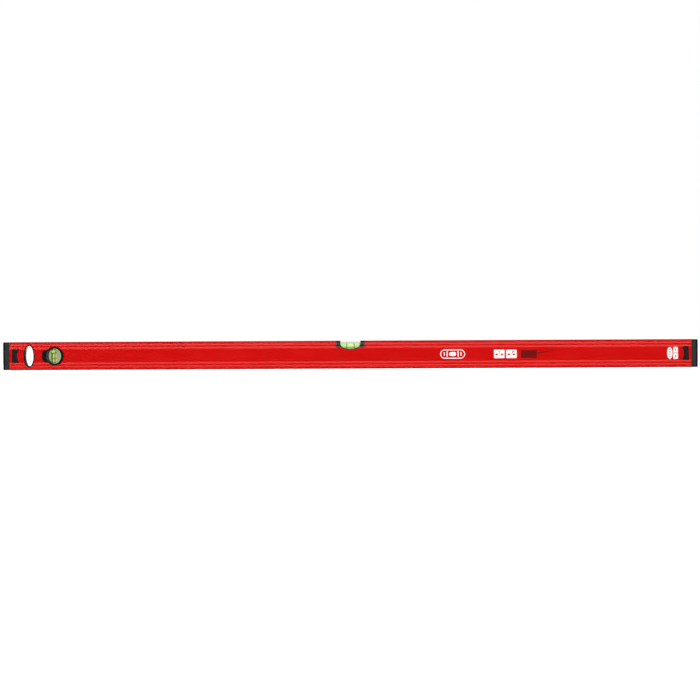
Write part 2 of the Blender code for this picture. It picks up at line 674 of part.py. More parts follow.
# ---- The whole level -------------------------------------------------------------------------------------
def make_materials():
    for name, (colour, roughness, metallic, alpha) in MATERIALS.items():
        material = bpy.data.materials.new(name)
        material.use_nodes = True
        shader = material.node_tree.nodes["Principled BSDF"]
        shader.inputs["Base Color"].default_value = (*colour, 1.0)
        shader.inputs["Roughness"].default_value = roughness
        shader.inputs["Metallic"].default_value = metallic
        shader.inputs["Alpha"].default_value = alpha


def main():
    for obj in list(bpy.data.objects):
        bpy.data.objects.remove(obj, do_unlink=True)
    make_materials()
    make_profile()
    for side_name, side in (("left", -1), ("right", 1)):
        make_cap(side_name, side)
    relief_start, relief_end = HANG_X - 2 * BEZEL_RADIUS, PLUMB_X + 2 * BEZEL_RADIUS
    relief = prism("rib_relief_tool", section_outline(RIB_CLEARANCE), X_AXIS, relief_start, relief_end)
    for face_name, face_side in (("front", -1), ("back", 1)):
        make_hang_liner(face_name, face_side, relief)
        make_plumb_bezel(face_name, face_side, relief)
    make_plumb_vial()
    make_level_housing()
    make_level_vial()


main()
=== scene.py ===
"""The looks of a 120 cm box-section spirit level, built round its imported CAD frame.

Lengths are in metres. +X runs along the level, the front face looks to -Y, and z = 0 is what it stands on.
"""

import math

import bmesh
import bpy
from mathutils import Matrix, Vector


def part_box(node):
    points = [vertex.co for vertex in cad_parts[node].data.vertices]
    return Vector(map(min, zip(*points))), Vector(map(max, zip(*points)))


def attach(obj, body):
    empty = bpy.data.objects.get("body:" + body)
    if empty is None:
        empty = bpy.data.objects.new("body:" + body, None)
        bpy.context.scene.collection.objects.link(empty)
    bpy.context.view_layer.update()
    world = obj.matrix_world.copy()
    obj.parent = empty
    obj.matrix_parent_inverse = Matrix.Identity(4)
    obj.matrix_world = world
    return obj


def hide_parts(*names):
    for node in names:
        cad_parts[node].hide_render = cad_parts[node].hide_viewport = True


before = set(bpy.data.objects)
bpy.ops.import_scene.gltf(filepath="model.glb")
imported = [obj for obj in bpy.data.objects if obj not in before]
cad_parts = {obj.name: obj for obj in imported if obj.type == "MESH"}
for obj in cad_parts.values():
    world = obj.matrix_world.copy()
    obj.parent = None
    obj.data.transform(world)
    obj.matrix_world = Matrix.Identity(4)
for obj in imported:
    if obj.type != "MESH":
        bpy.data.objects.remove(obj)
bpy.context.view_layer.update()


# ---- Places, read from the frame ----
class Span:
    """A CAD node's box at rest."""

    def __init__(self, node):
        self.low, self.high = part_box(node)
        self.centre = (self.low + self.high) / 2
        self.half = (self.high - self.low) / 2


PROFILE = Span("profile")
HANG = Span("hang_liner_front")
BEZEL = Span("plumb_bezel_front")
PLUMB_BLOCK = Span("plumb_vial_block")
PLUMB_FLUID = Span("plumb_fluid")
PLUMB_BUBBLE = Span("plumb_bubble")
LEVEL_FLUID = Span("level_fluid")
LEVEL_BUBBLE = Span("level_bubble")
LEVEL_BLOCK = Span("level_vial_block")
HOUSING = Span("level_housing")

HEIGHT = PROFILE.high.z
MIDDLE = HEIGHT / 2
PROFILE_END = PROFILE.high.x
HALF_WIDTH = PROFILE.high.y

# The section of the extrusion. Depths run inwards from either measuring face.
WEB_HALF_WIDTH = 0.0092
GROOVE_HALF_WIDTH = 0.00925
CORNER_RADIUS = 0.0034
RIB_OUTER = (0.0036, 0.0075)
RIB_OUTER_FALL = 0.00042
GROOVE = (0.00785, 0.00815)
RIB_INNER = (0.0085, 0.0126)
RIB_INNER_RISE = 0.00004  # the inner rib starts this far above the end of the outer one
RIB_CURVE = 0.65  # share of a rib's fall that grows with the square of the way across it
SECTION_STEP = 0.0002
CREASE = 0.00012  # spacing of the samples whose mean softens the creases
HOLLOW_HALF_WIDTH = 0.0077
HOLLOW_LOW = 0.0024
HOLLOW_RADIUS = 0.0015
STATION_SPACING = 0.05

FIT = 0.0003
SEAM = 0.00015
EDGE = 0.0003  # radius of a moulded edge
BURIED = 0.0001  # how far a hidden edge runs into its neighbour
THROUGH = 0.02  # half the length of a cutter that runs through both faces
OUTSIDE = 0.012  # a y in front of every face
ABOVE = HEIGHT + 0.004  # a z over the top face
X_AXIS, Y_AXIS, Z_AXIS = 0, 1, 2
CIRCLE_STEPS = 96
ROUND_STEPS = 4  # steps in the round of a small edge


# ---- Outlines: lists of (u, v) points ----
def ellipse(centre, half, steps=CIRCLE_STEPS):
    angles = [2 * math.pi * i / steps for i in range(steps)]
    return [(centre[0] + half[0] * math.cos(a), centre[1] + half[1] * math.sin(a)) for a in angles]


def rounded_box(low, high, radius, steps=8):
    corners = (
        (high[0] - radius, high[1] - radius, 0.0),
        (low[0] + radius, high[1] - radius, 0.5),
        (low[0] + radius, low[1] + radius, 1.0),
        (high[0] - radius, low[1] + radius, 1.5),
    )
    points = []
    for u, v, start in corners:
        for i in range(steps + 1):
            a = math.pi * (start + 0.5 * i / steps)
            points.append((u + radius * math.cos(a), v + radius * math.sin(a)))
    return points


def box_outline(low, high):
    return [(low[0], low[1]), (high[0], low[1]), (high[0], high[1]), (low[0], high[1])]


def rib_fall(t):
    """How far a rib has dropped, as a share, at t of the way across it: it steepens towards the web."""
    return (1 - RIB_CURVE) * t + RIB_CURVE * t * t


def rib_width(depth):
    """The half width of the extrusion at a depth from the nearer measuring face, past the corner."""
    outer_end = HALF_WIDTH - RIB_OUTER_FALL
    inner_start = outer_end + RIB_INNER_RISE
    if depth < RIB_OUTER[1]:
        t = max(0.0, (depth - RIB_OUTER[0]) / (RIB_OUTER[1] - RIB_OUTER[0]))
        return HALF_WIDTH - RIB_OUTER_FALL * rib_fall(t)
    if depth < GROOVE[0]:
        fall = (depth - RIB_OUTER[1]) / (GROOVE[0] - RIB_OUTER[1])
        return outer_end + (GROOVE_HALF_WIDTH - outer_end) * fall
    if depth < RIB_INNER[0]:
        rise = max(0.0, (depth - GROOVE[1]) / (RIB_INNER[0] - GROOVE[1]))
        return GROOVE_HALF_WIDTH + (inner_start - GROOVE_HALF_WIDTH) * rise
    if depth < RIB_INNER[1]:
        t = (depth - RIB_INNER[0]) / (RIB_INNER[1] - RIB_INNER[0])
        return inner_start + (WEB_HALF_WIDTH - inner_start) * rib_fall(t)
    return WEB_HALF_WIDTH


def skin(z):
    """The half width of the coated surface at height z, with its creases softened."""
    depth = min(z, HEIGHT - z)
    if depth < CORNER_RADIUS:
        rise = CORNER_RADIUS - max(depth, 0.0)
        return HALF_WIDTH - CORNER_RADIUS + math.sqrt(CORNER_RADIUS**2 - rise**2)
    reach = (-2, -1, 0, 1, 2)
    return sum(rib_width(depth + CREASE * k) for k in reach) / len(reach)


def section_outline(inset=0.0):
    """The extrusion's outer outline as (y, z), pulled in by inset."""
    quarter = []
    steps = 10
    inner = HALF_WIDTH - CORNER_RADIUS
    for i in range(steps):
        a = 0.5 * math.pi * i / steps
        radius = CORNER_RADIUS - inset
        quarter.append((inner + radius * math.sin(a), CORNER_RADIUS - radius * math.cos(a)))
    count = round((RIB_INNER[1] + 3 * CREASE - CORNER_RADIUS) / SECTION_STEP)
    for i in range(count + 1):
        depth = CORNER_RADIUS + SECTION_STEP * i
        quarter.append((skin(depth) - inset, depth))
    right = quarter + [(y, HEIGHT - z) for y, z in reversed(quarter)]
    left = [(-y, z) for y, z in reversed(right)]
    return right + left


# ---- Meshes ----
def add_object(name, bm):
    bmesh.ops.recalc_face_normals(bm, faces=bm.faces)
    mesh = bpy.data.meshes.new(name)
    bm.to_mesh(mesh)
    bm.free()
    obj = bpy.data.objects.new(name, mesh)
    bpy.context.scene.collection.objects.link(obj)
    return obj


def place(u, v, w, axis):
    """The point with outline coordinates (u, v) at w along the axis."""
    return ((w, u, v), (u, w, v), (u, v, w))[axis]


def loft(name, rings, wrap=False):
    """Skins a row of rings of equal length. Its ends are capped, or with wrap joined to each other."""
    bm = bmesh.new()
    rows = [[bm.verts.new(point) for point in ring] for ring in rings]
    pairs = list(zip(rows, rows[1:]))
    if wrap:
        pairs.append((rows[-1], rows[0]))
    for first, second in pairs:
        for i in range(len(first)):
            k = (i + 1) % len(first)
            bm.faces.new((first[i], first[k], second[k], second[i]))
    if not wrap:
        bm.faces.new(rows[0])
        bm.faces.new(rows[-1])
    return add_object(name, bm)


def prism(name, outline, axis, low, high):
    return loft(name, [[place(u, v, w, axis) for u, v in outline] for w in (low, high)])


def turned(name, profile, axis, centre, wrap=False):
    """A solid turned about an axis, or with wrap a ring. The profile is (along, radius), off the axis."""
    rings = []
    for along, radius in profile:
        circle = ellipse((0.0, 0.0), (radius, radius))
        rings.append([Vector(centre) + Vector(place(u, v, along, axis)) for u, v in circle])
    return loft(name, rings, wrap)


def settle(obj):
    """Applies the object's modifiers to its mesh."""
    bpy.context.view_layer.update()
    evaluated = obj.evaluated_get(bpy.context.evaluated_depsgraph_get())
    mesh = bpy.data.meshes.new_from_object(evaluated)
    obj.modifiers.clear()
    obj.data = mesh


def combine(target, operation, *tools):
    for tool in tools:
        modifier = target.modifiers.new(tool.name, "BOOLEAN")
        modifier.operation = operation
        modifier.solver = "EXACT"
        modifier.object = tool
    settle(target)
    for tool in tools:
        bpy.data.objects.remove(tool)


def cut(target, *tools):
    combine(target, "DIFFERENCE", *tools)


def smooth(obj, sharp):
    """Smooth shading in which large flat faces stay flat."""
    obj.data.shade_smooth()
    obj.data.set_sharp_from_angle(angle=math.radians(sharp))
    modifier = obj.modifiers.new("face_weights", "WEIGHTED_NORMAL")
    modifier.keep_sharp = True
    settle(obj)


def finish_piece(obj, body, material, stands_for, sharp=30.0):
    """Gives a piece its shading and finish, the body it rides on, and the CAD nodes it stands for."""
    smooth(obj, sharp)
    obj.data.materials.clear()
    obj.data.materials.append(material)
    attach(obj, body)
    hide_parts(*stands_for)


# ---- Materials ----
class Tree:
    """A new material's nodes. Textures use the piece's own coordinates, in metres."""

    def __init__(self, name):
        self.material = bpy.data.materials.new(name)
        self.material.use_nodes = True
        self.tree = self.material.node_tree
        self.place = self.tree.nodes.new("ShaderNodeTexCoord").outputs["Object"]

    def node(self, kind, links=(), **settings):
        made = self.tree.nodes.new(kind)
        for key, value in settings.items():
            setattr(made, key, value)
        for socket, source in dict(links).items():
            if isinstance(source, bpy.types.NodeSocket):
                self.tree.links.new(source, made.inputs[socket])
            else:
                made.inputs[socket].default_value = source
        return made

    def scaled(self, scale, origin=(0.0, 0.0, 0.0)):
        """The piece's coordinates from an origin, times a scale for each axis."""
        moved = self.node("ShaderNodeVectorMath", {0: self.place, 1: origin}, operation="SUBTRACT")
        grown = self.node("ShaderNodeVectorMath", {0: moved.outputs[0], 1: scale}, operation="MULTIPLY")
        return grown.outputs[0]

    def noise(self, scale, detail=3.0, roughness=0.5):
        """Noise with a scale per metre along each axis."""
        links = {"Vector": self.scaled(scale), "Scale": 1.0, "Detail": detail, "Roughness": roughness}
        return self.node("ShaderNodeTexNoise", links).outputs["Fac"]

    def ramp(self, source, low, high, to_low, to_high, smooth_step=False):
        """Maps low..high to to_low..to_high, and holds the ends."""
        kind = "SMOOTHSTEP" if smooth_step else "LINEAR"
        links = {"Value": source, "From Min": low, "From Max": high, "To Min": to_low, "To Max": to_high}
        return self.node("ShaderNodeMapRange", links, interpolation_type=kind).outputs["Result"]

    def mix(self, factor, first, second):
        """Blends two colours by a socket. A colour Mix node has its colours at 6 and 7, its result at 2."""
        links = {0: factor, 6: (*first, 1.0), 7: (*second, 1.0)}
        return self.node("ShaderNodeMix", links, data_type="RGBA").outputs[2]

    def show(self, node):
        """Makes a shader node the surface, in place of the Principled one."""
        self.tree.nodes.remove(self.tree.nodes["Principled BSDF"])
        self.tree.links.new(node.outputs[0], self.tree.nodes["Material Output"].inputs["Surface"])


class Finish(Tree):
    """A Principled material."""

    def __init__(self, name, colour, roughness, **plain):
        super().__init__(name)
        self.shader = self.tree.nodes["Principled BSDF"]
        self.shader.inputs["Base Color"].default_value = (*colour, 1.0)
        self.shader.inputs["Roughness"].default_value = roughness
        for key, value in plain.items():
            self.shader.inputs[key.replace("_", " ")].default_value = value

    def use(self, socket, source):
        self.tree.links.new(source, self.shader.inputs[socket])

    def bump(self, height, strength, distance, before=None):
        """A bump normal, on top of the one before it if there is one."""
        links = {"Height": height, "Strength": strength, "Distance": distance}
        if before is not None:
            links["Normal"] = before
        return self.node("ShaderNodeBump", links).outputs["Normal"]


def red_powder_coat():
    base = (0.61, 0.0030, 0.0030)
    finish = Finish("red_powder_coat", base, 0.16, IOR=1.5, Specular_Tint=(1.0, 0.27, 0.24, 1.0))
    drift = finish.ramp(finish.noise((9.0, 60.0, 60.0)), 0.3, 0.7, 0.0, 1.0)
    finish.use("Base Color", finish.mix(drift, (0.585, 0.0026, 0.0026), (0.63, 0.0034, 0.0034)))
    cloud = finish.noise((22.0, 90.0, 90.0), 4.0)
    finish.use("Roughness", finish.ramp(cloud, 0.25, 0.75, 0.13, 0.19))
    peel = finish.bump(finish.noise((650.0, 650.0, 650.0), 2.0), 0.06, 0.00003)
    draw = finish.bump(finish.noise((3.0, 1400.0, 1400.0), 2.0), 0.04, 0.00002, peel)
    finish.use("Normal", draw)
    return finish.material


def moulded_plastic(name, colour, roughness, grain, depth, gloss=0.12):
    """Injection-moulded plastic with an eroded grain."""
    finish = Finish(name, colour, roughness, Specular_IOR_Level=gloss)
    patch = finish.noise((260.0, 260.0, 260.0), 4.0)
    dark = tuple(0.82 * c for c in colour)
    light = tuple(1.15 * c for c in colour)
    finish.use("Base Color", finish.mix(finish.ramp(patch, 0.3, 0.7, 0.0, 1.0), dark, light))
    finish.use("Roughness", finish.ramp(patch, 0.3, 0.7, roughness - 0.06, roughness + 0.06))
    finish.use("Normal", finish.bump(finish.noise((grain, grain, grain), 3.0, 0.6), 0.35, depth))
    return finish.material


def clear_acrylic(name, colour):
    """Tinted clear acrylic, polished a little unevenly."""
    finish = Finish(name, colour, 0.02, IOR=1.49, Transmission_Weight=1.0)
    patch = finish.noise((300.0, 300.0, 300.0))
    finish.use("Roughness", finish.ramp(patch, 0.3, 0.7, 0.02, 0.04))
    return finish.material


def liquid_with_painted_light(name, bore, across, painted_light_bands):
    """Dyed liquid painted with bright and dark bands that stand for the light a round bore bends, and glowing
    in the same colour as painted light; the bands are (share of the way, colour).
    """
    # The liquid glows: painted light standing for light that reaches it through the acrylic, not a lamp.
    finish = Finish(name, painted_light_bands[0][1], 0.12, Emission_Strength=1.0)
    half = bore.half[across]
    span = finish.node("ShaderNodeSeparateXYZ", {0: finish.scaled((1.0, 1.0, 1.0), bore.centre)})
    way = finish.ramp(span.outputs[across], -half, half, 0.0, 1.0)
    swirl = finish.ramp(finish.noise((180.0, 180.0, 180.0)), 0.2, 0.8, -0.04, 0.04)
    share = finish.node("ShaderNodeMath", {0: way, 1: swirl}, operation="ADD", use_clamp=True)
    ramp = finish.node("ShaderNodeValToRGB", {0: share.outputs[0]})
    stops = ramp.color_ramp.elements
    while len(stops) < len(painted_light_bands):
        stops.new(1.0)
    for stop, (position, colour) in zip(stops, painted_light_bands):
        stop.position = position
        stop.color = (*colour, 1.0)
    # The bands are painted light and shade, and the glow takes the same painted colour.
    finish.use("Base Color", ramp.outputs["Color"])
    finish.use("Emission Color", ramp.outputs["Color"])
    return finish.material


def bubble_painted_light(name, centre, reach, painted_highlight_reach, core, painted_shade_rim):
    """A bubble with a bright core that is a painted highlight, and a darker rim that is painted shade where
    its surface turns away; it glows in the same painted colour.
    """
    # Emission makes the bubble glow: painted light, not a lamp.
    finish = Finish(name, core, 0.06, Emission_Strength=1.0)
    scale = tuple(1.0 / r for r in reach)
    far = finish.node("ShaderNodeVectorMath", {0: finish.scaled(scale, centre)}, operation="LENGTH")
    edge = finish.ramp(far.outputs["Value"], painted_highlight_reach, 1.0, 0.0, 1.0, True)
    # Painted highlight in the core, fading to painted shade at the rim.
    colour = finish.mix(edge, core, painted_shade_rim)
    finish.use("Base Color", colour)
    finish.use("Emission Color", colour)
    return finish.material


def ink(name, colour, worn, gloss):
    """Screen-printed ink, a little thin in places."""
    finish = Finish(name, colour, 0.38, Specular_IOR_Level=gloss)
    patch = finish.ramp(finish.noise((900.0, 900.0, 900.0), 4.0), 0.35, 0.75, 0.0, 1.0)
    finish.use("Base Color", finish.mix(patch, colour, worn))
    finish.use("Roughness", finish.ramp(patch, 0.0, 1.0, 0.32, 0.46))
    return finish.material


RED = red_powder_coat()
GREY = moulded_plastic("grey_plastic_grain", (0.020, 0.021, 0.021), 0.50, 2200.0, 0.00004)
BLACK = moulded_plastic("black_plastic_grain", (0.0040, 0.0042, 0.0044), 0.38, 2600.0, 0.00003)
RUBBER = moulded_plastic("rubber_grain", (0.0020, 0.0020, 0.0020), 0.70, 1500.0, 0.00006, 0.05)
RING = moulded_plastic("ring_enamel", (0.006, 0.012, 0.004), 0.40, 900.0, 0.00001)
HOUSING_BLACK = moulded_plastic("housing_grain", (0.0040, 0.0043, 0.0050), 0.30, 2600.0, 0.00003, 0.30)
BEZEL_BLACK = moulded_plastic("bezel_grain", (0.0028, 0.0031, 0.0031), 0.40, 2600.0, 0.00003, 0.06)
# The bezel's mouth slope: its black plastic lightened to a greenish grey, painted light standing for the
# acrylic's green light falling on it.
MOUTH_PAINTED_GREEN_LIGHT = moulded_plastic("mouth_slope_painted_green_light", (0.026, 0.040, 0.026), 0.30, 2600.0, 0.00001)
PLUMB_ACRYLIC = clear_acrylic("plumb_acrylic", (0.36, 0.41, 0.23))
LEVEL_ACRYLIC = clear_acrylic("level_acrylic", (0.68, 0.70, 0.54))
# Painted light and shade across the plumb bore: bright and dark bands on the liquid's green that stand for
# refracted light.
PLUMB_PAINTED_LIGHT_BANDS = (
    (0.00, (0.34, 0.43, 0.16)),
    (0.29, (0.04, 0.06, 0.004)),
    (0.48, (0.94, 1.00, 0.48)),
    (0.66, (0.37, 0.48, 0.07)),
    (0.85, (0.32, 0.40, 0.05)),
    (1.00, (1.00, 1.00, 0.70)),
)
# Painted shade and light up the level bore: darker towards the bottom and lighter above, standing for
# refracted light, on the liquid's green.
LEVEL_PAINTED_LIGHT_BANDS = (
    (0.00, (0.22, 0.28, 0.09)),
    (0.22, (0.33, 0.46, 0.15)),
    (0.45, (0.43, 0.70, 0.26)),
    (1.00, (0.44, 0.73, 0.28)),
)
PLUMB_LIQUID_PAINTED_LIGHT = liquid_with_painted_light("plumb_liquid_painted_light", PLUMB_FLUID, X_AXIS, PLUMB_PAINTED_LIGHT_BANDS)
LEVEL_LIQUID_PAINTED_LIGHT = liquid_with_painted_light("level_liquid_painted_light", LEVEL_FLUID, Z_AXIS, LEVEL_PAINTED_LIGHT_BANDS)
WHITE_INK = ink("white_ink", (0.95, 0.88, 0.88), (0.90, 0.80, 0.80), 0.5)
DARK_INK = ink("dark_ink", (0.070, 0.003, 0.002), (0.120, 0.004, 0.003), 0.04)


# ---- The extrusion ----
SHOULDER_HALF = HOUSING.half.x
SHOULDER_DEPTH = 0.0120
WINDOW_HALF = 0.01725
WINDOW_SIDE = 0.0050
WINDOW_DROP = 0.0092
WINDOW_RIM = 0.0015
NOTCH_GAP = 0.0002


def window_outline(grow, top):
    """The vial window as (x, z): straight sides down to a half ellipse."""
    half, drop = WINDOW_HALF + grow, WINDOW_DROP + grow
    points = [(half, top), (-half, top)]
    steps = 64
    for i in range(steps + 1):
        a = math.pi * (1 + i / steps)
        points.append((half * math.cos(a), HEIGHT - WINDOW_SIDE + drop * math.sin(a)))
    return points


def housing_outline(grow, top):
    """The centre housing's silhouette as (x, z): two shoulders and the rim below the window."""
    half, drop = WINDOW_HALF + WINDOW_RIM + grow, WINDOW_DROP + WINDOW_RIM + grow
    shoulder = SHOULDER_HALF + grow
    floor = HEIGHT - SHOULDER_DEPTH - grow
    start = math.asin((HEIGHT - WINDOW_SIDE - floor) / drop)
    points = [(shoulder, top), (-shoulder, top), (-shoulder, floor)]
    steps = 48
    for i in range(steps + 1):
        a = math.pi + start + (math.pi - 2 * start) * i / steps
        points.append((half * math.cos(a), HEIGHT - WINDOW_SIDE + drop * math.sin(a)))
    points.append((shoulder, floor))
    return points


LATCH = Span("right_latch_front")
CATCH_OUT = LATCH.high.x + FIT
CATCH_HALF_HEIGHT = LATCH.half.z + FIT
CATCH_LENGTH = 0.0115
CATCH_IN = CATCH_OUT - CATCH_LENGTH
TONGUE_HALF_CHORD = 0.0090
TONGUE_BULGE = 0.0030
END_ROUNDING = ((0.0, 0.00018), (0.00006, 0.00007), (0.00018, 0.0))  # (distance from a sawn end, inset)
HOLLOW_REACH = 0.6  # half the length of the hollow's cutter, past both ends
NOTCH_REACH = 0.04  # half the length of a cutter's core, past both ends of the notch
CUTTER_REACH = 0.003  # how far a flared cutter stands out of the surface
CATCH_FLARE = 0.0002
NOTCH_BREAK = 0.0001
LIP = 0.0010  # how far a flange laps over the rim of its opening


def catch_outline(side, inset):
    """The catch window as (x, z): a box with a round tongue standing into it from the inboard edge."""
    radius = (TONGUE_HALF_CHORD**2 + TONGUE_BULGE**2) / (2 * TONGUE_BULGE)
    chord_angle = math.asin(TONGUE_HALF_CHORD / radius)
    centre = CATCH_IN + TONGUE_BULGE - radius
    low, high = MIDDLE - CATCH_HALF_HEIGHT + inset, MIDDLE + CATCH_HALF_HEIGHT - inset
    points = [(CATCH_OUT - inset, high), (CATCH_IN + inset, high)]
    reach = radius + inset
    steps = 24
    for i in range(steps + 1):
        a = chord_angle * (1 - 2 * i / steps)
        points.append((centre + reach * math.cos(a), MIDDLE + reach * math.sin(a)))
    points += [(CATCH_IN + inset, low), (CATCH_OUT - inset, low)]
    return [(side * x, z) for x, z in points]


def flared_window(name, outline_at, surface, flare):
    """A cutter along Y whose mouth widens by flare in a round edge at either surface."""
    rows = [(surface + CUTTER_REACH, flare)]
    for i in range(ROUND_STEPS + 1):
        a = 0.5 * math.pi * i / ROUND_STEPS
        rows.append((surface - flare * math.sin(a), flare * (1 - math.cos(math.pi / 2 - a))))
    rows += [(-y, grow) for y, grow in reversed(rows)]
    return loft(name, [[(u, y, v) for u, v in outline_at(-grow)] for y, grow in rows])


def surface_break(name, outline, shrink):
    """A cutter for the skin only: the outline's prism, hollowed by the section shrunk a little."""
    skin_tool = prism(name, outline, Y_AXIS, -OUTSIDE, OUTSIDE)
    core = prism(f"{name}_core", section_outline(shrink), X_AXIS, -NOTCH_REACH, NOTCH_REACH)
    cut(skin_tool, core)
    return skin_tool


def make_profile():
    """The coated extrusion, from end to end, with its hollow and its punched openings."""
    stations = [(-PROFILE_END + x, inset) for x, inset in END_ROUNDING]
    count = round(2 * PROFILE_END / STATION_SPACING)
    stations += [(-PROFILE_END + 2 * PROFILE_END * i / count, 0.0) for i in range(1, count)]
    stations += [(PROFILE_END - x, inset) for x, inset in reversed(END_ROUNDING)]
    rings = [[(x, y, z) for y, z in section_outline(inset)] for x, inset in stations]
    profile = loft("box_profile", rings)
    low = (-HOLLOW_HALF_WIDTH, HOLLOW_LOW)
    high = (HOLLOW_HALF_WIDTH, HEIGHT - HOLLOW_LOW)
    hollow = rounded_box(low, high, HOLLOW_RADIUS)
    hang = ellipse((HANG.centre.x, MIDDLE), (HANG.half.x - LIP, HANG.half.z - LIP))
    cut(
        profile,
        prism("hollow_tool", hollow, X_AXIS, -HOLLOW_REACH, HOLLOW_REACH),
        flared_window("left_catch", lambda grow: catch_outline(-1, grow), WEB_HALF_WIDTH, CATCH_FLARE),
        flared_window("right_catch", lambda grow: catch_outline(1, grow), WEB_HALF_WIDTH, CATCH_FLARE),
        prism("hang_tool", hang, Y_AXIS, -THROUGH, THROUGH),
        prism("plumb_tool", bezel_outline(LIP), Y_AXIS, -THROUGH, THROUGH),
        prism("notch_tool", housing_outline(NOTCH_GAP, ABOVE), Y_AXIS, -THROUGH, THROUGH),
        surface_break("notch_edge", housing_outline(NOTCH_GAP + NOTCH_BREAK, ABOVE), NOTCH_BREAK),
    )
    finish_piece(profile, "frame", RED, ["profile"], 25.0)


# ---- End caps ----
CAP_INSET = 0.0002
CAP_HALF_WIDTH = HALF_WIDTH - CAP_INSET
BUMPER_EDGE = 0.0016
INSERT_HALF_WIDTH = HOLLOW_HALF_WIDTH - FIT
INSERT_LOW = HOLLOW_LOW + FIT
INSERT_ROOT = PROFILE_END - 0.0247
INSERT_BURIED = 0.0020  # how far the insert runs into the collar
INSERT_RAIL_HEIGHT = 0.0090
INSERT_WEB_HALF = 0.0015
INSERT_CHAMFER = 0.0010
RAIL_WALL = 0.0018
RAIL_CORE_RADIUS = 0.0010
RAIL_CORE_END = 0.0020  # the rails' cores start this far outside the insert and stop this far short
CROSS_WALL = 0.0030
CROSS_WALL_BURIED = 0.0010
CATCH_PLATE = 0.0020
CATCH_PLATE_FACE = HOLLOW_HALF_WIDTH - FIT
CATCH_FACE = 0.0089
PAD_BURIED = 0.0005
PAD_EDGE = ((0.00025, 0.0), (0.00007, 0.00007), (0.0, 0.00025))  # (depth below the face, inset)
GRIP_INBOARD = 0.0042  # the grip dish's distances from the sides of its window
GRIP_OUTBOARD = 0.0010
GRIP_ABOVE = 0.0040
GRIP_RADIUS = 0.0006
GRIP_DEPTH = 0.0005


def cap_outline(inset):
    """A cap's outline as (y, z), pulled in by inset."""
    low = (-CAP_HALF_WIDTH + inset, CAP_INSET + inset)
    high = (CAP_HALF_WIDTH - inset, HEIGHT - CAP_INSET - inset)
    return rounded_box(low, high, CORNER_RADIUS - inset, 10)


def capped_block(name, side, start, end, start_edge, end_edge, steps=6):
    """A block with the caps' outline, from start to end along X, with a round edge at either end."""
    rows = []
    for i in range(steps + 1):
        a = 0.5 * math.pi * i / steps
        rows.append((start + start_edge * (1 - math.sin(a)), start_edge * (1 - math.cos(a))))
    rows.reverse()
    for i in range(steps + 1):
        a = 0.5 * math.pi * i / steps
        rows.append((end - end_edge * (1 - math.sin(a)), end_edge * (1 - math.cos(a))))
    return loft(name, [[(side * x, y, z) for y, z in cap_outline(inset)] for x, inset in rows])


def make_cap(side_name, side):
    """A cap with its insert, its bumper and its two catches."""
    body_name = f"{side_name}_cap"
    collar = Span(f"{side_name}_cap_body")
    bumper_box = Span(f"{side_name}_cap_bumper")
    collar_end = max(abs(collar.low.x), abs(collar.high.x))
    start = PROFILE_END + SEAM
    body = capped_block(f"{side_name}_collar", side, start, collar_end, EDGE, EDGE)
    combine(body, "UNION", make_insert(side_name, side))
    finish_piece(body, body_name, GREY, [f"{side_name}_cap_body"])
    end = max(abs(bumper_box.low.x), abs(bumper_box.high.x))
    bumper = capped_block(f"{side_name}_bumper", side, collar_end + SEAM, end, EDGE, BUMPER_EDGE, 8)
    finish_piece(bumper, body_name, RUBBER, [f"{side_name}_cap_bumper"])
    for face_name, face_side in (("front", -1), ("back", 1)):
        make_latch(f"{side_name}_latch_{face_name}", side, face_side)


def make_insert(side_name, side):
    """Two rails and a web, with a cross wall that carries the roots of the catches."""
    root, half, web, chamfer = INSERT_ROOT, INSERT_HALF_WIDTH, INSERT_WEB_HALF, INSERT_CHAMFER
    rail_top = INSERT_LOW + INSERT_RAIL_HEIGHT
    lower = [(-web, rail_top), (-half, rail_top), (-half, INSERT_LOW + chamfer), (chamfer - half, INSERT_LOW)]
    lower += [(-y, z) for y, z in reversed(lower)]
    upper = [(y, HEIGHT - z) for y, z in reversed(lower)]
    insert_ends = (side * root, side * (PROFILE_END + INSERT_BURIED))
    insert = prism(f"{side_name}_insert", lower + upper, X_AXIS, *insert_ends)
    wall_half = CATCH_PLATE_FACE - CATCH_PLATE - FIT
    wall_low = rail_top - CROSS_WALL_BURIED
    wall = box_outline((-wall_half, wall_low), (wall_half, HEIGHT - wall_low))
    wall_ends = (side * (root + BURIED), side * (root + CROSS_WALL))
    combine(insert, "UNION", prism(f"{side_name}_wall", wall, X_AXIS, *wall_ends))
    low = (-half + RAIL_WALL, INSERT_LOW + RAIL_WALL)
    high = (half - RAIL_WALL, rail_top - RAIL_WALL)
    core = rounded_box(low, high, RAIL_CORE_RADIUS)
    core_ends = (side * (root - RAIL_CORE_END), side * (PROFILE_END - RAIL_CORE_END))
    mirrored = [(y, HEIGHT - z) for y, z in core]
    cut(
        insert,
        prism("lower_core", core, X_AXIS, *core_ends),
        prism("upper_core", mirrored, X_AXIS, *core_ends),
    )
    return insert


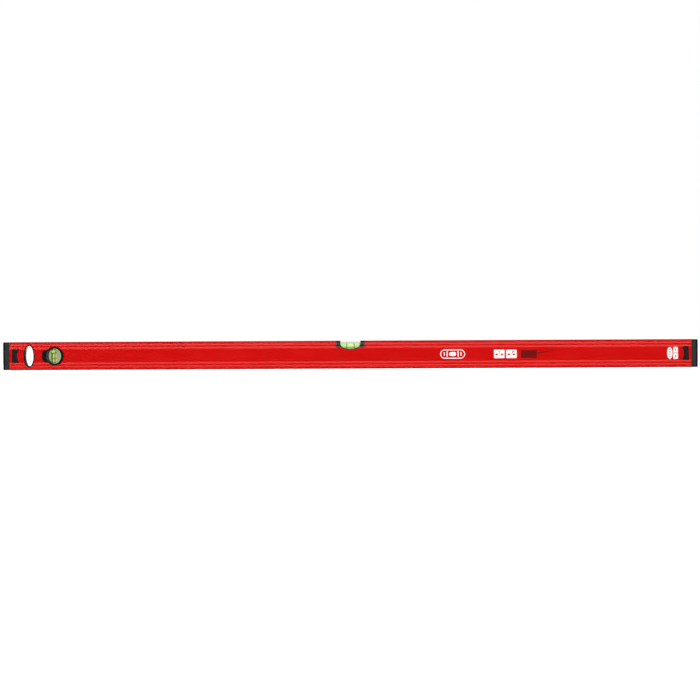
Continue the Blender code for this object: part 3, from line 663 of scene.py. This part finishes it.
def make_latch(name, side, face_side):
    """A pad in the catch window, with a grip dish, on a plate that flexes about its inboard root."""
    rows = [(CATCH_PLATE_FACE - PAD_BURIED, 0.0)]
    rows += [(CATCH_FACE - depth, inset) for depth, inset in PAD_EDGE]
    rings = [[(x, face_side * y, z) for x, z in catch_outline(side, FIT + inset)] for y, inset in rows]
    pad = loft(f"{name}_pad", rings)
    half_height = CATCH_HALF_HEIGHT - FIT
    low = (side * (INSERT_ROOT + BURIED), MIDDLE - half_height)
    high = (side * (CATCH_OUT - FIT), MIDDLE + half_height)
    depths = (face_side * (CATCH_PLATE_FACE - CATCH_PLATE), face_side * CATCH_PLATE_FACE)
    combine(pad, "UNION", prism(f"{name}_plate", box_outline(low, high), Y_AXIS, *depths))
    grip_half = CATCH_HALF_HEIGHT - GRIP_ABOVE
    low = (CATCH_IN + GRIP_INBOARD, MIDDLE - grip_half)
    high = (CATCH_OUT - GRIP_OUTBOARD, MIDDLE + grip_half)
    grip = [(side * x, z) for x, z in rounded_box(low, high, GRIP_RADIUS, 4)]
    depths = (face_side * (CATCH_FACE - GRIP_DEPTH), face_side * OUTSIDE)
    cut(pad, prism(f"{name}_dish", grip, Y_AXIS, *depths))
    finish_piece(pad, name, BLACK, [name])


# ---- Flanged inserts in the webs ----
FLANGE_FACE = BEZEL.half.y + abs(BEZEL.centre.y)
HANG_OPENING = (0.00735, 0.0176)
HANG_SKIRT = (0.0082, 0.0185)
HANG_EDGE = 0.0006
RING_RADIUS = 0.0160
PLUMB_X = BEZEL.high.x - RING_RADIUS
EAR_REACH = PLUMB_X - BEZEL.low.x
EAR_HALF_HEIGHT = 0.01025
EAR_RADIUS = 0.0060
PANE_CENTRE = (PLUMB_X, MIDDLE)
PANE_HALF = (0.0113, 0.0132)
MOUTH_CENTRE = (PLUMB_X - 0.0015, MIDDLE)
MOUTH_HALF = (0.0130, 0.0135)
MOUTH_LEDGE = 0.0004  # depth at which the slope starts
MOUTH_POLE = (PLUMB_X - 0.001, MIDDLE)  # where the rays that pair up the bezel's rings start
PANE_DEPTH = 0.0016
PANE_WALL = 0.0008
BEZEL_SKIRT = 0.0013  # insets of the skirt's outer and inner walls
BEZEL_BORE = 0.0021
EAR_DISH_HALF = (0.0013, 0.0070)
EAR_DISH_X = PLUMB_X - 0.0184
EAR_DISH_RADIUS = 0.0012
EAR_DISH_DEPTH = 0.0006


def bezel_outline(inset):
    """A ring with a side ear towards -X, as (x, z), pulled in by inset."""
    radius = RING_RADIUS - inset
    half_height, reach, corner = EAR_HALF_HEIGHT - inset, EAR_REACH - inset, EAR_RADIUS - inset
    meet = math.pi - math.asin(half_height / radius)
    steps = 72
    points = []
    for i in range(steps + 1):
        a = -meet + 2 * meet * i / steps
        points.append((PLUMB_X + radius * math.cos(a), MIDDLE + radius * math.sin(a)))
    corner_steps = 8
    for side, start in ((1, 0.5), (-1, 1.0)):
        for i in range(corner_steps + 1):
            a = math.pi * (start + 0.5 * i / corner_steps)
            u = PLUMB_X - reach + corner + corner * math.cos(a)
            points.append((u, MIDDLE + side * (half_height - corner) + corner * math.sin(a)))
    return points


def ray_ellipse(points, pole, centre, half):
    """For each point, where its ray from the pole meets an ellipse round it."""
    met = []
    for u, v in points:
        du, dv = u - pole[0], v - pole[1]
        pu, pv = (pole[0] - centre[0]) / half[0], (pole[1] - centre[1]) / half[1]
        qu, qv = du / half[0], dv / half[1]
        a, b, c = qu * qu + qv * qv, pu * qu + pv * qv, pu * pu + pv * pv - 1
        t = (-b + math.sqrt(b * b - a * c)) / a
        met.append((pole[0] + t * du, pole[1] + t * dv))
    return met


def flat_ring(outline, y):
    return [(x, y, z) for x, z in outline]


def coated_ring(outline, face_side):
    """An outline laid on the coated surface, a little below it."""
    return [(x, face_side * (skin(z) - BURIED), z) for x, z in outline]


def flange_rings(outline_at, face_side):
    """From the coated surface up the flange's side and round its edge to the face."""
    rings = [coated_ring(outline_at(0.0), face_side)]
    for i in range(ROUND_STEPS + 1):
        a = 0.5 * math.pi * i / ROUND_STEPS
        y = FLANGE_FACE - EDGE * (1 - math.sin(a))
        rings.append(flat_ring(outline_at(EDGE * (1 - math.cos(a))), face_side * y))
    return rings


def mouth_rings(outline_at, face_side, bottom, edge):
    """From the face round an inner edge and down the wall of an opening."""
    rings = []
    for i in range(ROUND_STEPS + 1):
        a = 0.5 * math.pi * i / ROUND_STEPS
        y = FLANGE_FACE - edge * (1 - math.cos(a))
        rings.append(flat_ring(outline_at(edge * (1 - math.sin(a))), face_side * y))
    rings.append(flat_ring(outline_at(0.0), face_side * bottom))
    return rings


def make_hang_liner(face_name, face_side):
    """Half of the hanging hole's liner: a flange on the web and a skirt down to the seam."""

    def oval(half, grow):
        return ellipse((HANG.centre.x, MIDDLE), (half[0] + grow, half[1] + grow))

    rings = flange_rings(lambda inset: oval((HANG.half.x, HANG.half.z), -inset), face_side)
    rings += mouth_rings(lambda grow: oval(HANG_OPENING, grow), face_side, SEAM, HANG_EDGE)
    rings.append(flat_ring(oval(HANG_SKIRT, 0.0), face_side * SEAM))
    rings.append(coated_ring(oval(HANG_SKIRT, 0.0), face_side))
    liner = loft(f"hang_ring_{face_name}", rings, wrap=True)
    finish_piece(liner, "frame", BLACK, [f"hang_liner_{face_name}"])


def make_plumb_bezel(face_name, face_side):
    """A ring with an ear. Its mouth slopes down to the pane, most on the ear's side."""
    outer = bezel_outline(0.0)

    def mouth_at(grow):
        return ray_ellipse(outer, MOUTH_POLE, MOUTH_CENTRE, (MOUTH_HALF[0] + grow, MOUTH_HALF[1] + grow))

    pane = ray_ellipse(outer, MOUTH_POLE, PANE_CENTRE, PANE_HALF)
    bore, skirt = bezel_outline(BEZEL_BORE), bezel_outline(BEZEL_SKIRT)
    pane_face = FLANGE_FACE - PANE_DEPTH
    pane_back = pane_face - PANE_WALL
    rings = flange_rings(bezel_outline, face_side)
    rings += mouth_rings(mouth_at, face_side, FLANGE_FACE - MOUTH_LEDGE, EDGE)
    for outline, y in ((pane, pane_face), (pane, pane_back), (bore, pane_back), (bore, SEAM), (skirt, SEAM)):
        rings.append(flat_ring(outline, face_side * y))
    rings.append(coated_ring(skirt, face_side))
    bezel = loft(f"plumb_surround_{face_name}", rings, wrap=True)
    low = (EAR_DISH_X - EAR_DISH_HALF[0], MIDDLE - EAR_DISH_HALF[1])
    high = (EAR_DISH_X + EAR_DISH_HALF[0], MIDDLE + EAR_DISH_HALF[1])
    dish = rounded_box(low, high, EAR_DISH_RADIUS)
    depths = (face_side * (FLANGE_FACE - EAR_DISH_DEPTH), face_side * OUTSIDE)
    cut(bezel, prism(f"{face_name}_ear_dish", dish, Y_AXIS, *depths))
    finish_piece(bezel, "frame", BEZEL_BLACK, [f"plumb_bezel_{face_name}"])
    # The faces of the mouth's slope take the greenish grey that is painted light from the acrylic.
    bezel.data.materials.append(MOUTH_PAINTED_GREEN_LIGHT)
    for face in bezel.data.polygons:
        x, y, z = face.center
        across = math.hypot((x - MOUTH_CENTRE[0]) / MOUTH_HALF[0], (z - MOUTH_CENTRE[1]) / MOUTH_HALF[1])
        if across < 1.0 and pane_face < abs(y) < FLANGE_FACE - EDGE:
            face.material_index = 1


# ---- Vials ----
BORE_CLEARANCE = 0.00006  # from the CAD liquid to the wall of the bore
OVERLAP = 0.00002  # the liquid stands this far into the wall, so that no air shows between
BORE_EDGE = 0.0008
PLUMB_BORE_EXTRA = 0.0042  # how far the plumb bore's half length exceeds the liquid's
PLUMB_BORE_RISE = 0.0041  # how far its middle is above the liquid's
PLUMB_LENS_EDGE = 0.0005
LEVEL_LENS_EDGE = 0.0004
RING_WALL = 0.00015
RING_CORNER = 0.00006
PLUG_EDGE = 0.0002
TIP_RADIUS = 0.0001  # where a turned profile starts and ends, just off its axis
BUBBLE_FULLNESS = 3.2  # 2 would make the level bubble's side view an ellipse, and more makes it boxier
BUBBLE_TIP = 0.02  # share of the half turn that is left out at either tip of the level bubble
BUBBLE_SAG = 0.12  # how far its underside bulges down, as a share of its depth
PLUMB_BUBBLE_EDGE = 0.0016
PLUMB_GLOW_RISE = 0.0009


def round_ended(half, radius, edge):
    """A turned profile of (along, radius) with round edges at both ends."""
    points = [(half, TIP_RADIUS)]
    steps = 6
    for i in range(steps + 1):
        a = 0.5 * math.pi * i / steps
        points.append((half - edge * (1 - math.cos(a)), radius - edge * (1 - math.sin(a))))
    return points + [(-along, reach) for along, reach in reversed(points)]


def make_rings(nodes, axis):
    """Reading rings: thin enamel bands with bevelled corners round the liquid."""
    cross = X_AXIS if axis == Z_AXIS else Z_AXIS
    for node in nodes:
        box = Span(node)
        half, outer = box.half[axis], box.half[cross]
        inner, shoulder, end = outer - RING_WALL, outer - RING_CORNER, half - RING_CORNER
        profile = [(-half, inner), (-half, shoulder), (-end, outer)]
        profile += [(-along, radius) for along, radius in reversed(profile)]
        ring = turned(f"{node}_band", profile, axis, box.centre, wrap=True)
        finish_piece(ring, "frame", RING, [node])


def lens(name, outline_at, half, edge):
    """An acrylic block across the level with bevelled edges on both faces."""
    rows = [(-half, edge), (edge - half, 0.0), (half - edge, 0.0), (half, edge)]
    return loft(name, [flat_ring(outline_at(inset), y) for y, inset in rows])


def make_plumb_vial():
    centre, radius = PLUMB_BLOCK.centre, PLUMB_BLOCK.half.x

    def disc(inset):
        return ellipse((centre.x, centre.z), (radius - inset, radius - inset))

    block = lens("plumb_lens", disc, PLUMB_BLOCK.half.y, PLUMB_LENS_EDGE)
    half, bore_radius = PLUMB_FLUID.half.z + PLUMB_BORE_EXTRA, PLUMB_FLUID.half.x + BORE_CLEARANCE
    bore_z = PLUMB_FLUID.low.z + PLUMB_FLUID.half.z + PLUMB_BORE_RISE
    bore_centre = Vector((PLUMB_FLUID.centre.x, 0.0, bore_z))
    cut(block, turned("plumb_bore", round_ended(half, bore_radius, BORE_EDGE), Z_AXIS, bore_centre))
    finish_piece(block, "frame", PLUMB_ACRYLIC, ["plumb_vial_block"])


def make_level_vial():
    top = LEVEL_BLOCK.high.z

    def pane(inset):
        return window_outline(-NOTCH_GAP - inset, top - inset)

    block = lens("level_lens", pane, LEVEL_BLOCK.half.y, LEVEL_LENS_EDGE)
    bore = round_ended(LEVEL_FLUID.half.x, LEVEL_FLUID.half.y + BORE_CLEARANCE, BORE_EDGE)
    cut(block, turned("level_bore", bore, X_AXIS, Vector((0.0, 0.0, LEVEL_FLUID.centre.z))))
    finish_piece(block, "frame", LEVEL_ACRYLIC, ["level_vial_block"])


def make_level_liquid():
    radius = LEVEL_FLUID.half.y + BORE_CLEARANCE + OVERLAP
    centre = Vector((0.0, 0.0, LEVEL_FLUID.centre.z))
    fluid = turned("level_dye", round_ended(LEVEL_FLUID.half.x, radius, BORE_EDGE), X_AXIS, centre)
    # Its material carries the painted light bands and a painted glow.
    finish_piece(fluid, "frame", LEVEL_LIQUID_PAINTED_LIGHT, ["level_fluid"])


def make_level_bubble():
    """A flat bubble under the top of the bore: an arc of the bore above, a shallow curve below."""
    radius = LEVEL_FLUID.half.y + BORE_CLEARANCE + 2 * OVERLAP
    bore_z = LEVEL_FLUID.centre.z
    half = LEVEL_BUBBLE.half.x
    depth = 2 * LEVEL_BUBBLE.half.z
    stations, around = 40, 24
    rings = []
    for i in range(stations + 1):
        along = -half * math.cos(math.pi * (BUBBLE_TIP + (1 - 2 * BUBBLE_TIP) * i / stations))
        fullness = (1 - abs(along / half) ** BUBBLE_FULLNESS) ** (1 / BUBBLE_FULLNESS)
        reach = math.acos(1 - depth * fullness / radius)
        ring = []
        for k in range(around + 1):
            a = reach * (1 - 2 * k / around)
            ring.append((along, radius * math.sin(a), bore_z + radius * math.cos(a)))
        width, low = ring[0][1], ring[0][2]
        for k in range(1, around):
            t = 1 - 2 * k / around
            ring.append((along, -width * t, low - BUBBLE_SAG * depth * fullness * (1 - t * t)))
        rings.append(ring)
    bubble = loft("level_air", rings)
    # The bubble's colours are painted light: a bright core about the glow centre as a painted highlight, a
    # darker rim as painted shade.
    glow_centre = Vector((0.0, 0.0, bore_z + radius - depth))
    core, painted_shade_rim = (0.57, 0.80, 0.45), (0.46, 0.55, 0.35)
    material = bubble_painted_light("level_air_painted_light", glow_centre, (half, 1.0, depth), 0.72, core, painted_shade_rim)
    finish_piece(bubble, "level_bubble", material, ["level_bubble"])


def make_plumb_liquid():
    """The liquid fills the bore up to the top of the bubble, which hides it where it stands."""
    radius = PLUMB_FLUID.half.x + BORE_CLEARANCE + OVERLAP
    low, high = PLUMB_FLUID.low.z, PLUMB_BUBBLE.high.z
    centre = Vector((PLUMB_FLUID.centre.x, 0.0, (low + high) / 2))
    fluid = turned("plumb_dye", round_ended((high - low) / 2, radius, BORE_EDGE), Z_AXIS, centre)
    # Its material carries the painted light bands and a painted glow.
    finish_piece(fluid, "frame", PLUMB_LIQUID_PAINTED_LIGHT, ["plumb_fluid"])


def make_plumb_bubble():
    centre, half = PLUMB_BUBBLE.centre, PLUMB_BUBBLE.half.z
    radius = PLUMB_FLUID.half.x + BORE_CLEARANCE + 2 * OVERLAP
    bubble = turned("plumb_air", round_ended(half, radius, PLUMB_BUBBLE_EDGE), Z_AXIS, centre)
    # The bubble's colours are painted light: a bright core a little above its middle as a painted highlight,
    # a nearly black rim as painted shade.
    glow_centre = centre + Vector((0.0, 0.0, PLUMB_GLOW_RISE))
    core, painted_shade_rim = (0.60, 0.86, 0.22), (0.12, 0.17, 0.015)
    reach = (1.1 * radius, 1.0, 1.05 * half)
    material = bubble_painted_light("plumb_air_painted_light", glow_centre, reach, 0.45, core, painted_shade_rim)
    finish_piece(bubble, "plumb_bubble", material, ["plumb_bubble"])


def make_plugs():
    """The plugs that close the bores, as short turned discs."""
    plumb = ("plumb_plug", Z_AXIS, X_AXIS, PLUMB_ACRYLIC)
    level = ("level_plug", X_AXIS, Z_AXIS, LEVEL_ACRYLIC)
    for node, axis, cross, material in (plumb, level):
        box = Span(node)
        profile = round_ended(box.half[axis], box.half[cross], PLUG_EDGE)
        plug = turned(f"{node}_disc", profile, axis, box.centre)
        finish_piece(plug, "frame", material, [node])


CARRIER_HALF = 0.0187
CARRIER_LOW = 0.0325
POCKET_HALF_WIDTH = 0.0064
POCKET_LOW = 0.0340
SECTION_REACH = 0.03  # half the length of the section that shapes the housing, past both its ends
WINDOW_BREAK = 0.0002


def make_level_housing():
    """The black insert in the top notch: its shoulders carry the ribs on, its rim holds the block."""
    top = HOUSING.high.z
    housing = prism("level_surround", housing_outline(NOTCH_GAP + OVERLAP, top), Y_AXIS, -OUTSIDE, OUTSIDE)
    section = prism("section_tool", section_outline(), X_AXIS, -SECTION_REACH, SECTION_REACH)
    combine(housing, "INTERSECT", section)
    carrier = box_outline((-CARRIER_HALF, CARRIER_LOW), (CARRIER_HALF, top - BURIED))
    combine(housing, "UNION", prism("carrier", carrier, Y_AXIS, -INSERT_HALF_WIDTH, INSERT_HALF_WIDTH))
    pocket = box_outline((-WINDOW_HALF, POCKET_LOW), (WINDOW_HALF, ABOVE))
    cut(
        housing,
        prism("window_tool", window_outline(0.0, ABOVE), Y_AXIS, -THROUGH, THROUGH),
        prism("pocket_tool", pocket, Y_AXIS, -POCKET_HALF_WIDTH, POCKET_HALF_WIDTH),
        surface_break("window_edge", window_outline(WINDOW_BREAK, ABOVE), WINDOW_BREAK),
    )
    finish_piece(housing, "frame", HOUSING_BLACK, ["level_housing"])


# ---- Printed marks ----
INK_THICKNESS = 0.00003
ROUND_SHARE = 0.999  # a bar's round ends fall this short of meeting, so that no two points coincide


def mark(name, outlines, material):
    """Ink on the front web. Outlines are (x, z) loops; one inside another is a hole."""
    curve = bpy.data.curves.new(name, "CURVE")
    curve.dimensions = "2D"
    curve.fill_mode = "BOTH"
    curve.extrude = INK_THICKNESS / 2
    for outline in outlines:
        spline = curve.splines.new("POLY")
        spline.points.add(len(outline) - 1)
        for point, (x, z) in zip(spline.points, outline):
            point.co = (x, z, 0.0, 1.0)
        spline.use_cyclic_u = True
    drawn = bpy.data.objects.new(f"{name}_curve", curve)
    bpy.context.scene.collection.objects.link(drawn)
    bpy.context.view_layer.update()
    mesh = bpy.data.meshes.new_from_object(drawn.evaluated_get(bpy.context.evaluated_depsgraph_get()))
    bpy.data.objects.remove(drawn)
    surface = -WEB_HALF_WIDTH - INK_THICKNESS / 2
    for vert in mesh.vertices:
        x, z, out = vert.co
        vert.co = (x, surface - out, z)
    bm = bmesh.new()
    bm.from_mesh(mesh)
    bmesh.ops.remove_doubles(bm, verts=bm.verts, dist=1e-7)
    bpy.data.meshes.remove(mesh)
    obj = add_object(name, bm)
    obj.data.materials.append(material)
    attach(obj, "frame")


def bar(centre, half, radius=None):
    """A rounded bar about a centre, with round ends unless a corner radius is given."""
    low = (centre[0] - half[0], centre[1] - half[1])
    high = (centre[0] + half[0], centre[1] + half[1])
    return rounded_box(low, high, min(half) * ROUND_SHARE if radius is None else radius, 6)


def make_emblem():
    """A vial symbol: a capsule with two reading lines and a bubble."""
    x, z = 0.1765, 0.0245
    line_half, tick_half, line_radius = (0.0009, 0.0050), (0.0009, 0.0030), 0.0004
    outlines = [bar((x, z), half) for half in ((0.0215, 0.0080), (0.0199, 0.0064), (0.0060, 0.0036))]
    for sign in (-1, 1):
        outlines.append(bar((x + sign * 0.0095, z), line_half, line_radius))
        outlines.append(bar((x + sign * 0.0145, z), tick_half, line_radius))
    mark("print_vial_symbol", outlines, WHITE_INK)


def make_tiles():
    """Two white tiles, each with two ovals and a wedge or a slanted bar left open in it."""
    z = 0.02425
    half, radius = (0.0092, 0.0073), 0.0016
    oval, apart, drop = (0.0022, 0.0016), 0.0045, 0.0008
    wedge = ((-0.0016, 0.0045), (0.0016, 0.0045), (0.0, 0.0018))
    slanted = ((0.0005, 0.0028), (0.0035, 0.0058), (0.0050, 0.0046), (0.0020, 0.0016))
    for name, x, shape in (("left", 0.2570, wedge), ("right", 0.2780, slanted)):
        tile = [bar((x, z), half, radius)]
        tile += [ellipse((x + sign * apart, z - drop), oval, 20) for sign in (-1, 1)]
        tile.append([(x + u, z + v) for u, v in shape])
        mark(f"print_tile_{name}", tile, WHITE_INK)


def make_scale_block():
    """A block of plain bars that tapers off in short dashes."""
    bar_half, bar_z, bar_spacing = (0.00145, 0.0066), 0.0240, 0.0034
    outlines = [bar((0.2965 + bar_spacing * i, bar_z), bar_half, 0.0003) for i in range(8)]
    for i in range(7):
        half_height = 0.0016 - 0.00018 * i
        outlines.append(bar((0.3250 + 0.0040 * i, 0.0255 + 0.0008 * i), (0.0014, half_height), 0.0002))
    mark("print_bars", outlines, DARK_INK)


def make_end_marks():
    """A scalloped rosette and two stacked tiles, near the right-hand catch."""
    x, z = 0.5516, 0.0245
    half, lobes, swell, steps = (0.0047, 0.0102), 14, 0.05, 120
    scallop = []
    for i in range(steps):
        a = 2 * math.pi * i / steps
        grown = 1.0 + swell * math.cos(lobes * a)
        scallop.append((x + half[0] * grown * math.cos(a), z + half[1] * grown * math.sin(a)))
    slots = [bar((x, z + 0.0030 * row), (0.0020, 0.0004), 0.0002) for row in range(-2, 3)]
    mark("print_rosette", [scallop] + slots, WHITE_INK)
    stack_x = 0.5617
    for name, stack_z in (("upper", 0.0300), ("lower", 0.0192)):
        centre = (stack_x, stack_z)
        tile = [bar(centre, (0.0041, 0.0050), 0.0012), ellipse(centre, (0.0009, 0.0017), 16)]
        mark(f"print_stack_{name}", tile, WHITE_INK)


# ---- Studio ----
FLOOR_HALF = 12.0
FLOOR_DROP = 0.0003
FLOOR_SQUEEZE = (0.6, 1.0, 1.0)  # makes the near part of the floor longer along the level
FLOOR_NEAR, FLOOR_FAR = 0.35, 1.4  # between these distances the floor fades into the backdrop
FLOOR_GLOW = (0.80, 1.02)  # near and far
FLOOR_GREY = 0.5
DOME_RADIUS = 25.0
STRIP_DISTANCE, STRIP_SIZE = 1.6, (2.1, 0.28)
STRIP_RADIANCE = 6.0
TOP_GLINT_RADIANCE = 1.4  # the strip behind the level, which its top face mirrors to the front
FILL_DISTANCE, FILL_SIZE, FILL_RADIANCE = 2.4, (4.0, 1.0), 4.2
CARD_DISTANCE, CARD_SIZE, CARD_RADIANCE = 3.0, (1.6, 1.6), 1.2
UPPER_STRIP_ANGLE, LOWER_STRIP_ANGLE, FILL_ANGLE, CARD_ANGLE = 15.5, -11.5, 38.0, 22.0  # degrees up
WORLD_GREY = 0.045
CAMERA_PLACE = (-0.00077, -5.0, 0.0323)
CAMERA_ROLL = 0.267  # degrees
CAMERA_LENS = 148.6  # millimetres


def backdrop_material():
    nodes = Tree("pale_backdrop")
    nodes.show(nodes.node("ShaderNodeEmission", {"Strength": 1.0}))
    return nodes.material


def floor_material():
    """A pale floor: it takes soft shadows near the level and fades into the backdrop further out."""
    nodes = Tree("pale_floor")
    far = nodes.node("ShaderNodeVectorMath", {0: nodes.scaled(FLOOR_SQUEEZE)}, operation="LENGTH")
    fade = nodes.ramp(far.outputs["Value"], FLOOR_NEAR, FLOOR_FAR, *FLOOR_GLOW, True)
    glow = nodes.node("ShaderNodeEmission", {"Strength": fade})
    matte = nodes.node("ShaderNodeBsdfDiffuse", {"Color": (FLOOR_GREY, FLOOR_GREY, FLOOR_GREY, 1.0)})
    nodes.show(nodes.node("ShaderNodeAddShader", {0: glow.outputs[0], 1: matte.outputs[0]}))
    return nodes.material


def hide_from_light(obj):
    """The object is seen by the camera and through the vials, and lights nothing."""
    obj.visible_diffuse = False
    obj.visible_glossy = False
    obj.visible_shadow = False


def make_stage():
    bm = bmesh.new()
    bmesh.ops.create_grid(bm, x_segments=1, y_segments=1, size=FLOOR_HALF)
    bmesh.ops.translate(bm, verts=bm.verts, vec=(0.0, 0.0, -FLOOR_DROP))
    floor = add_object("studio_floor", bm)
    floor.data.materials.append(floor_material())
    bm = bmesh.new()
    bmesh.ops.create_uvsphere(bm, u_segments=48, v_segments=24, radius=DOME_RADIUS)
    dome = add_object("studio_dome", bm)
    dome.data.materials.append(backdrop_material())
    for obj in (floor, dome):
        hide_from_light(obj)


def soft_light(name, azimuth, elevation, distance, size, radiance, glossy=True, diffuse=True):
    """A rectangular soft light that looks at the middle of the level. Azimuth 0 is in front of it."""
    light = bpy.data.lights.new(name, "AREA")
    light.shape = "RECTANGLE"
    light.size, light.size_y = size
    light.energy = radiance * math.pi * size[0] * size[1]
    obj = bpy.data.objects.new(name, light)
    bpy.context.scene.collection.objects.link(obj)
    a, e = math.radians(azimuth), math.radians(elevation)
    away = Vector((math.sin(a) * math.cos(e), -math.cos(a) * math.cos(e), math.sin(e)))
    obj.location = Vector((0.0, 0.0, MIDDLE)) + away * distance
    obj.rotation_euler = away.to_track_quat("Z", "Y").to_euler()
    obj.visible_camera = False
    obj.visible_transmission = False
    obj.visible_glossy = glossy
    obj.visible_diffuse = diffuse


def make_lights():
    """Slim strips that draw the highlights on the ribs, and wide fills that only light the colours."""
    world = bpy.data.worlds.new("studio_air")
    world.use_nodes = True
    grey = world.node_tree.nodes["Background"].inputs["Color"]
    grey.default_value = (WORLD_GREY, WORLD_GREY, WORLD_GREY, 1.0)
    bpy.context.scene.world = world
    faces = (("front", 0.0, STRIP_RADIANCE), ("back", 180.0, TOP_GLINT_RADIANCE))
    for face_name, azimuth, top_radiance in faces:
        upper = ("upper", UPPER_STRIP_ANGLE, FILL_ANGLE, top_radiance)
        lower = ("lower", LOWER_STRIP_ANGLE, -FILL_ANGLE, STRIP_RADIANCE)
        for level, strip_up, fill_up, radiance in (upper, lower):
            name = f"{face_name}_{level}"
            strip = (azimuth, strip_up, STRIP_DISTANCE, STRIP_SIZE, radiance)
            fill = (azimuth, fill_up, FILL_DISTANCE, FILL_SIZE, FILL_RADIANCE)
            soft_light(f"{name}_strip", *strip, diffuse=False)
            soft_light(f"{name}_fill", *fill, glossy=False)
    for side_name, azimuth in (("left", -90.0), ("right", 90.0)):
        soft_light(f"{side_name}_card", azimuth, CARD_ANGLE, CARD_DISTANCE, CARD_SIZE, CARD_RADIANCE)


def make_camera():
    """A long lens straight in front, rolled a little so that the right-hand end stands higher."""
    data = bpy.data.cameras.new("camera")
    data.sensor_width = 36.0
    data.lens = CAMERA_LENS
    data.clip_start, data.clip_end = 0.05, 80.0
    camera = bpy.data.objects.new("camera", data)
    bpy.context.scene.collection.objects.link(camera)
    camera.location = CAMERA_PLACE
    camera.rotation_euler = (math.radians(90.0), math.radians(CAMERA_ROLL), 0.0)
    bpy.context.scene.camera = camera
    bpy.context.scene.view_settings.view_transform = "Standard"
    bpy.context.scene.view_settings.look = "None"


def main():
    make_camera()
    make_stage()
    make_lights()
    make_profile()
    for side_name, side in (("left", -1), ("right", 1)):
        make_cap(side_name, side)
    for face_name, face_side in (("front", -1), ("back", 1)):
        make_hang_liner(face_name, face_side)
        make_plumb_bezel(face_name, face_side)
    make_plumb_vial()
    make_level_vial()
    make_level_liquid()
    make_level_bubble()
    make_plumb_liquid()
    make_plumb_bubble()
    make_plugs()
    make_rings(("plumb_ring_upper", "plumb_ring_lower"), Z_AXIS)
    make_rings(("level_ring_left", "level_ring_right"), X_AXIS)
    make_level_housing()
    make_emblem()
    make_tiles()
    make_scale_block()
    make_end_marks()


main()
